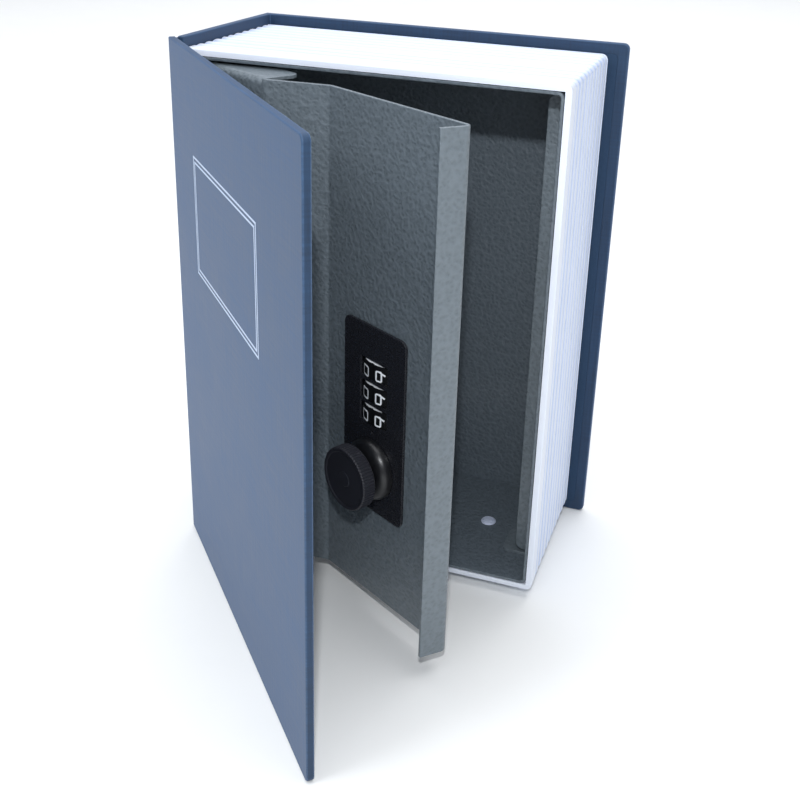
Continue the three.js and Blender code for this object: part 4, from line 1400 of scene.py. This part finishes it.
@dataclass
class CombinationLock:
    """Face plate, number wheels, knob, collar, case and the latch lever behind the door.

    Attributes:
        leaves: the book's leaves.
        plate_thickness: thickness of the face plate.
        plate_corner: radius of its corners.
        plate_edge: rounding of its front edges.
        slot: half width and half height of a wheel's slot.
        reset_hole: radius of the code resetting hole.
        reset_rise: its height above the knob's axis.
        digit_width: width of a number along the wheel's axis.
        digit_height: height of a number round the wheel's rim.
        digit_stroke: width of a number's strokes.
        digit_turn: how far the numbers stand past the middle between two notches, in degrees.
        digit_drop: how far the numbers stand below the middle of the wheel's rim.
        digit_cuts: number of strips that a number is bent in.
        digit_relief: how far the ink stands on the wheel.
        grips: number of grip notches round a wheel.
        grip_steps: number of steps from one notch to the next.
        grip_depth: depth of a notch.
        grip_slope: share of that depth that is lost one step from its middle.
        wheel_edge: rounding of a wheel's rim.
        wheel_radius: radius of a wheel.
        wheel_bore: radius of its bore.
        rim: depth of the knob's rim.
        neck: radius of its neck.
        boss: radius of the boss in its face.
        ridges: number of ridges round the knob.
        ridge_depth: depth of the ridges.
        collar_top: radius of the collar at the knob.
        collar_bore: radius of its bore.
        collar_edge: height of its straight edge over the face plate.
        collar_chamfer: width of the chamfer at the foot of that edge.
        collar_rise: number of steps up its dome.
        collar_steps: number of steps round it.
        screw_head: height of a screw's head.
        screw_shank: radius of a screw's shank.
        screw_slot: width of the slot in a screw's head.
        slot_depth: its depth.
        screw_steps: number of steps round a screw.
        case_edge: rounding of the edges of the case, the lever and the nut.
        washer_edge: rounding of the washer's edges.
    """

    leaves: Leaves
    plate_thickness: float = 0.8
    plate_corner: float = 2.5
    plate_edge: float = 0.18
    slot: tuple[float, float] = (6.33, 3.1)
    reset_hole: float = 0.6
    reset_rise: float = 12.4
    digit_width: float = 3.8
    digit_height: float = 3.9
    digit_stroke: float = 0.62
    digit_turn: float = 1.5
    digit_drop: float = 0.5
    digit_cuts: int = 6
    digit_relief: float = 0.03
    grips: int = 10
    grip_steps: int = 12
    grip_depth: float = 0.35
    grip_slope: float = 0.45
    wheel_edge: float = 0.4
    wheel_radius: float = 11.0
    wheel_bore: float = 4.45
    rim: float = 4.8
    neck: float = 4.8
    boss: float = 2.5
    ridges: int = 64
    ridge_depth: float = 0.24
    collar_top: float = 5.4
    collar_bore: float = 3.05
    collar_edge: float = 0.5
    collar_chamfer: float = 0.15
    collar_rise: int = 14
    collar_steps: int = 96
    screw_head: float = 1.3
    screw_shank: float = 1.1
    screw_slot: float = 0.55
    slot_depth: float = 0.75
    screw_steps: int = 32
    case_edge: float = 0.3
    washer_edge: float = 0.15

    def knob_axis(self) -> Vector:
        """Middle of the knob's face in the closed book."""
        low, high = self.leaves.door.box("knob")
        return Vector(((low.x + high.x) / 2, low.y, (low.z + high.z) / 2))

    def plate(self) -> BMesh:
        """Face plate with a slot for each wheel and the code resetting hole.

        Returns:
            The closed mesh.
        """
        low, high = self.leaves.door.box("lock_faceplate")
        mesh = block(low, Vector((high.x, low.y + self.plate_thickness, high.z)))
        bevel(mesh, edges_along(mesh, DEEP), self.plate_corner, CORNER_STEPS)
        x, _, knob_height = self.knob_axis()
        windows = []
        for i in (1, 2, 3):
            wheel_low, wheel_high = self.leaves.door.box(f"number_wheel_{i}")
            windows.append(Window(x, (wheel_low.z + wheel_high.z) / 2, *self.slot))
        reset = Window(x, knob_height + self.reset_rise, self.reset_hole, self.reset_hole)
        windows.append(reset)
        for window in windows:
            window.score(mesh)
        for window in windows:
            window.clear(mesh)
            if window is reset:
                self.round_hole(mesh, reset.x, reset.z)
            rims = [edge for edge in mesh.edges if len(edge.link_faces) == 1]
            bmesh.ops.bridge_loops(mesh, edges=rims)
        outward(mesh)
        bevel(mesh, sharp_edges(mesh, depth=low.y), self.plate_edge)
        return mesh

    def round_hole(self, mesh: BMesh, x: float, z: float) -> None:
        """Turns the square opening for the reset pin into a round one.

        Args:
            mesh: the plate, with that opening as its only open edges.
            x: place of its middle across the book.
            z: height of its middle.
        """
        rims = [edge for edge in mesh.edges if len(edge.link_faces) == 1]
        bmesh.ops.subdivide_edges(mesh, edges=rims, cuts=3)
        for vertex in mesh.verts:
            if vertex.is_boundary:
                arm = Vector((vertex.co.x - x, 0, vertex.co.z - z)).normalized() * self.reset_hole
                vertex.co = Vector((x + arm.x, vertex.co.y, z + arm.z))

    def wheel(self, node: str) -> BMesh:
        """Number wheel with grip notches; its two ends take the white ink.

        Args:
            node: the CAD node that it stands for.

        Returns:
            The closed mesh, with the material index 1 on its ends.
        """
        low, high = self.leaves.door.box(node)
        centre = (low + high) / 2
        edge, bore = self.wheel_edge, self.wheel_bore
        inner = self.wheel_radius - edge
        profile = [(bore, low.z), (inner, low.z)]
        for height, start in ((low.z + edge, -QUARTER), (high.z - edge, 0.0)):
            angles = [start + step / EDGE_STEPS * QUARTER for step in range(1, EDGE_STEPS + 1)]
            profile += [(inner + edge * math.cos(angle), height + edge * math.sin(angle)) for angle in angles]
        profile += [(bore, high.z), (bore, low.z)]
        mesh = spun(profile, centre, UP, self.grip_steps * self.grips)
        pitch = 360 / self.grips
        for vertex in mesh.verts:
            arm = vertex.co - centre
            angle = (math.degrees(math.atan2(arm.y, arm.x)) + 90) % pitch
            away = round(min(angle, pitch - angle) / (pitch / self.grip_steps))
            if arm.xy.length > inner - NEAR and away < 2:
                share = 1 - self.grip_depth / self.wheel_radius * (1 - self.grip_slope * away)
                vertex.co = centre + Vector((arm.x * share, arm.y * share, arm.z))
        for face in facing(mesh, UP) + facing(mesh, -UP):
            face.material_index = 1
        return mesh

    def numbers(self, node: str) -> BMesh:
        """The ten numbers of a wheel, wrapped round its rim with their tops to the left.

        Args:
            node: the wheel's CAD node.

        Returns:
            The numbers as one mesh.
        """
        low, high = self.leaves.door.box(node)
        centre = (low + high) / 2
        pitch = 360 / len(DIGIT_STROKE_SHARES)
        mesh = bmesh.new()
        for i, digit in enumerate(DIGIT_STROKE_SHARES):
            flat = self.flat_digit(digit)
            middle = math.radians(self.digit_turn - 90 - pitch / 2 - pitch * i)
            for vertex in flat.verts:
                along, up, out = vertex.co
                angle = middle - up / self.wheel_radius
                radius = self.wheel_radius + out
                around = Vector((radius * math.cos(angle), radius * math.sin(angle), along - self.digit_drop))
                vertex.co = centre + around
            outward(flat)
            merge_in(mesh, flat)
        return mesh

    def flat_digit(self, digit: str) -> BMesh:
        """One number as round-ended strokes, centred on the origin.

        Args:
            digit: the number.

        Returns:
            A mesh whose X is the number's width, Y its height and Z its relief, in millimetres.
        """
        curve = bpy.data.curves.new("digit", "CURVE")
        curve.dimensions = "3D"
        curve.bevel_depth = self.digit_stroke / 2
        curve.bevel_resolution = 2
        curve.use_fill_caps = True
        wide, tall = self.digit_width - self.digit_stroke, self.digit_height - self.digit_stroke
        for closed, points in DIGIT_STROKE_SHARES[digit]:
            spline = curve.splines.new("POLY")
            spline.points.add(len(points) - 1)
            for point, (across, up) in zip(spline.points, points):
                point.co = ((across - 0.5) * wide, (up - 0.5) * tall, 0, 1)
            spline.use_cyclic_u = closed
        holder = bpy.data.objects.new("digit", curve)
        bpy.context.scene.collection.objects.link(holder)
        data = bpy.data.meshes.new_from_object(holder.evaluated_get(bpy.context.evaluated_depsgraph_get()))
        bpy.data.objects.remove(holder)
        bpy.data.curves.remove(curve)
        mesh = bmesh.new()
        mesh.from_mesh(data)
        bpy.data.meshes.remove(data)
        bmesh.ops.remove_doubles(mesh, verts=mesh.verts, dist=WELD)
        flatten = Matrix.Diagonal((1, 1, 2 * self.digit_relief / self.digit_stroke, 1))
        bmesh.ops.transform(mesh, matrix=flatten, verts=mesh.verts)
        for step in range(1, self.digit_cuts):
            cut(mesh, (0, self.digit_height * (step / self.digit_cuts - 0.5), 0), DEEP)
        return mesh

    def knob(self) -> BMesh:
        """Knurled rim on a neck, with a shallow dish and a small boss in its face.

        Returns:
            The closed mesh.
        """
        low, high = self.leaves.door.box("knob")
        axis = self.knob_axis()
        radius = (high.z - low.z) / 2
        back = self.rim
        # The knob as radius and depth behind its face
        outline = (
            (0.0, high.y - low.y), (self.neck, high.y - low.y), (self.neck, back), (radius - 0.9, back),
            (radius - 0.6, back - 0.05), (radius, back - 0.5), (radius, 0.5), (radius - 0.15, 0.2),
            (radius - 0.5, 0.0), (radius - 1.1, 0.0), (radius - 1.3, 0.1), (radius - 1.5, 0.3),
            (self.boss, 0.3), (self.boss - 0.2, 0.15), (0.0, 0.15),
        )
        profile = [(across, low.y + depth) for across, depth in outline]
        mesh = spun(profile, axis, DEEP, 4 * self.ridges)
        for vertex in mesh.verts:
            arm = vertex.co - axis
            if arm.xz.length > radius - 0.3:
                turn = math.atan2(arm.z, arm.x) * self.ridges
                share = 1 - self.ridge_depth / radius * (0.5 - 0.5 * math.cos(turn))
                vertex.co = axis + Vector((arm.x * share, arm.y, arm.z * share))
        return mesh

    def collar(self) -> BMesh:
        """Domed collar between the face plate and the knob.

        Returns:
            The closed mesh.
        """
        low, high = self.leaves.door.box("knob_collar")
        foot, top, bore = (high.x - low.x) / 2, self.collar_top, self.collar_bore
        edge, chamfer = high.y - self.collar_edge, high.y - self.collar_chamfer
        profile = [(bore, high.y), (foot - self.collar_chamfer, high.y), (foot, chamfer), (foot, edge)]
        for step in range(1, self.collar_rise + 1):
            angle = step / self.collar_rise * QUARTER
            profile.append((top + (foot - top) * math.cos(angle), edge - (edge - low.y) * math.sin(angle)))
        profile += [(bore, low.y), (bore, high.y)]
        return spun(profile, self.knob_axis(), DEEP, self.collar_steps)

    def screw(self, node: str) -> BMesh:
        """Pan-headed screw with a slot across its head.

        Args:
            node: the CAD node that it stands for.

        Returns:
            The closed mesh.
        """
        low, high = self.leaves.door.box(node)
        centre = (low + high) / 2
        head = (high.x - low.x) / 2
        seat, floor = high.y - self.screw_head, high.y - self.slot_depth
        profile = [
            (0.0, low.y), (self.screw_shank, low.y), (self.screw_shank, seat), (head, seat), (head, floor),
            (head * 0.94, high.y - 0.45), (head * 0.75, high.y - 0.15), (head * 0.45, high.y), (0.0, high.y),
        ]
        mesh = spun(profile, centre, DEEP, self.screw_steps)
        half = self.screw_slot / 2
        for side in (-half, half):
            cut(mesh, centre + ACROSS * side, ACROSS)
        mesh.normal_update()
        middles = [(face, face.calc_center_median()) for face in mesh.faces]
        crown = [face for face, middle in middles if abs(middle.x - centre.x) < half and middle.y > floor]
        sunk = extrude_faces(mesh, crown, Vector((0, 0, 0)))
        for vertex in {vertex for face in sunk for vertex in face.verts}:
            vertex.co.y = floor
        bmesh.ops.dissolve_degenerate(mesh, dist=WELD / 2, edges=mesh.edges)
        outward(mesh)
        return mesh

    def dress(self) -> None:
        """Makes the lock's pieces."""
        door = self.leaves.door
        enamel, nylon, black = (
            replace(finish, turn=door.opening).build() for finish in (LOCK_ENAMEL, KNOB_NYLON, WHEEL_ABS)
        )
        zinc = replace(ZINC_PLATE, name="zinc_plate_lock").build()
        ink = NUMBER_INK.build()
        make_piece("lock_plate", self.plate(), door, Slot.BLACK_PAINT, [enamel], "lock_faceplate")
        make_piece("collar_dome", self.collar(), door, Slot.BLACK_PAINT, [COLLAR_ABS.build()], "knob_collar")
        case = refined_copy("lock_case", door, self.case_edge)
        make_piece("lock_housing", case, door, Slot.BLACK_PLASTIC, [black], "lock_case")
        for i in (1, 2, 3, 4):
            node = f"case_screw_{i}"
            make_piece(node + "_slotted", self.screw(node), door, Slot.ZINC, [zinc], node)
        paint_nodes(zinc, "wheel_axle")
        paint_nodes(SPRING_STEEL.build(), "detent_spring")
        for i in (1, 2, 3):
            leaf = replace(door, body=f"wheel_{i}")
            node = f"number_wheel_{i}"
            make_piece(f"wheel_{i}_body", self.wheel(node), leaf, Slot.BLACK_PLASTIC, [black, ink], node)
            make_piece(f"wheel_{i}_numbers", self.numbers(node), leaf, Slot.PAGES, [ink])
        paint_nodes(TURNED_BRASS.build(), "code_sleeve_1", "code_sleeve_2", "code_sleeve_3", "spindle")
        turning = replace(door, body="knob_and_lever")
        make_piece("knob_knurled", self.knob(), turning, Slot.BLACK_PLASTIC, [nylon], "knob")
        for node in ("latch_lever", "lever_washer", "lever_nut"):
            width = self.washer_edge if node == "lever_washer" else self.case_edge
            refined = refined_copy(node, turning, width)
            make_piece(node + "_plated", refined, turning, Slot.ZINC, [zinc], node)


@dataclass(frozen=True)
class Lamp:
    """A square soft light.

    Attributes:
        name: the light's name.
        place: where it hangs, in metres.
        size: its side, in metres.
        watts: its power.
        colour: its sRGB colour.
        aim: the point that it faces, in metres.
    """

    name: str
    place: tuple[float, float, float]
    size: float
    watts: float
    colour: str
    aim: tuple[float, float, float] = (0.0, -0.05, 0.09)

    def hang(self) -> None:
        """Makes the light."""
        data = bpy.data.lights.new(self.name, "AREA")
        data.shape = "SQUARE"
        data.size = self.size
        data.energy = self.watts
        data.color = linear(self.colour)[:3]
        lamp = bpy.data.objects.new(self.name, data)
        lamp.location = self.place
        lamp.rotation_euler = (Vector(self.aim) - Vector(self.place)).to_track_quat("-Z", "Y").to_euler()
        bpy.context.scene.collection.objects.link(lamp)


@dataclass
class Studio:
    """Pale floor, soft light and the camera of the photograph.

    Attributes:
        leaves: the book's leaves.
        eye: the camera's place in the closed book's millimetres.
        azimuth: how far the view turns from the book's front, in radians.
        elevation: how far it looks down, in radians.
        roll: how far it is rolled, in radians.
        focal: focal length in pixels of the photograph's frame.
        principal: the picture's principal point, in pixels.
        floor_side: side of the floor, in metres.
        floor_drop: how far the floor lies below the book, in metres.
        sky: sRGB colour of the light all round.
        sky_strength: its strength.
        lamps: a flash just over the camera and lamps overhead, on the left and behind.
    """

    leaves: Leaves
    eye: tuple[float, float, float] = (183.718, -303.809, 236.136)
    azimuth: float = 0.30707
    elevation: float = 0.37775
    roll: float = 0.03805
    focal: float = 1095.32
    principal: tuple[float, float] = (430.0, 288.0)
    floor_side: float = 9.0
    floor_drop: float = 0.0002
    sky: str = "EDF3FF"
    sky_strength: float = 0.38
    lamps: tuple[Lamp, ...] = (
        Lamp("flash", (0.12, -0.39, 0.335), 0.013, 0.78, "F8FBFF"),
        Lamp("top", (-0.1, 0.3, 2.2), 2.6, 50.0, "FBFCFF"),
        Lamp("left", (-0.75, -0.85, 1.05), 0.5, 5.6, "F6FAFF"),
        Lamp("back", (-0.2, 2.0, 1.6), 1.6, 11.0, "FBFCFF", (-0.2, 2.0, 0.0)),
    )

    def camera(self) -> None:
        """Makes the camera and gives it the photograph's frame."""
        data = bpy.data.cameras.new("photo_camera")
        data.sensor_width = SENSOR_MM
        data.sensor_fit = "HORIZONTAL"
        data.lens = self.focal / FRAME_PIXELS * SENSOR_MM
        data.shift_x = (FRAME_PIXELS / 2 - self.principal[0]) / FRAME_PIXELS
        data.shift_y = (self.principal[1] - FRAME_PIXELS / 2) / FRAME_PIXELS
        data.clip_start = 0.01
        level = math.cos(self.elevation)
        ahead = DEEP * math.cos(self.azimuth) * level - ACROSS * math.sin(self.azimuth) * level
        ahead -= UP * math.sin(self.elevation)
        right = ahead.cross(UP).normalized()
        up = right.cross(ahead)
        rolled_right = right * math.cos(self.roll) + up * math.sin(self.roll)
        rolled_up = up * math.cos(self.roll) - right * math.sin(self.roll)
        turn = Matrix((rolled_right, rolled_up, -ahead)).transposed().to_4x4()
        camera = bpy.data.objects.new("photo_camera", data)
        camera.matrix_world = Matrix.Translation(self.leaves.safe.place @ Vector(self.eye)) @ turn
        bpy.context.scene.collection.objects.link(camera)
        bpy.context.scene.camera = camera

    def floor(self) -> None:
        """Makes the pale floor."""
        mesh = bmesh.new()
        bmesh.ops.create_grid(mesh, x_segments=1, y_segments=1, size=self.floor_side / 2)
        data = bpy.data.meshes.new("floor")
        mesh.to_mesh(data)
        mesh.free()
        floor = bpy.data.objects.new("floor", data)
        floor.location.z = -self.floor_drop
        bpy.context.scene.collection.objects.link(floor)
        data.materials.append(STUDIO_PAPER.build())

    def light(self) -> None:
        """Makes the light all round and hangs the lamps."""
        world = bpy.data.worlds.new("studio")
        world.use_nodes = True
        tree = world.node_tree
        tree.nodes.clear()
        glow = add_node(tree, "Background", {"Color": linear(self.sky), "Strength": self.sky_strength})
        add_node(tree, "OutputWorld", {"Surface": glow})
        bpy.context.scene.world = world
        for lamp in self.lamps:
            lamp.hang()

    def dress(self) -> None:
        """Makes the studio."""
        self.camera()
        self.floor()
        self.light()
        bpy.context.scene.view_settings.view_transform = "Standard"


def main() -> None:
    """Builds the book's sub-assemblies in order."""
    logging.basicConfig(level=logging.INFO, format="%(name)s %(message)s")
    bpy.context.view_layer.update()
    leaves = Leaves.from_frame()
    for assembly in (Studio, BookCase, PageBlock, CashBox, SteelDoor, CombinationLock):
        LOG.info("building %s", assembly.__name__)
        assembly(leaves).dress()


if __name__ == "__main__":
    main()
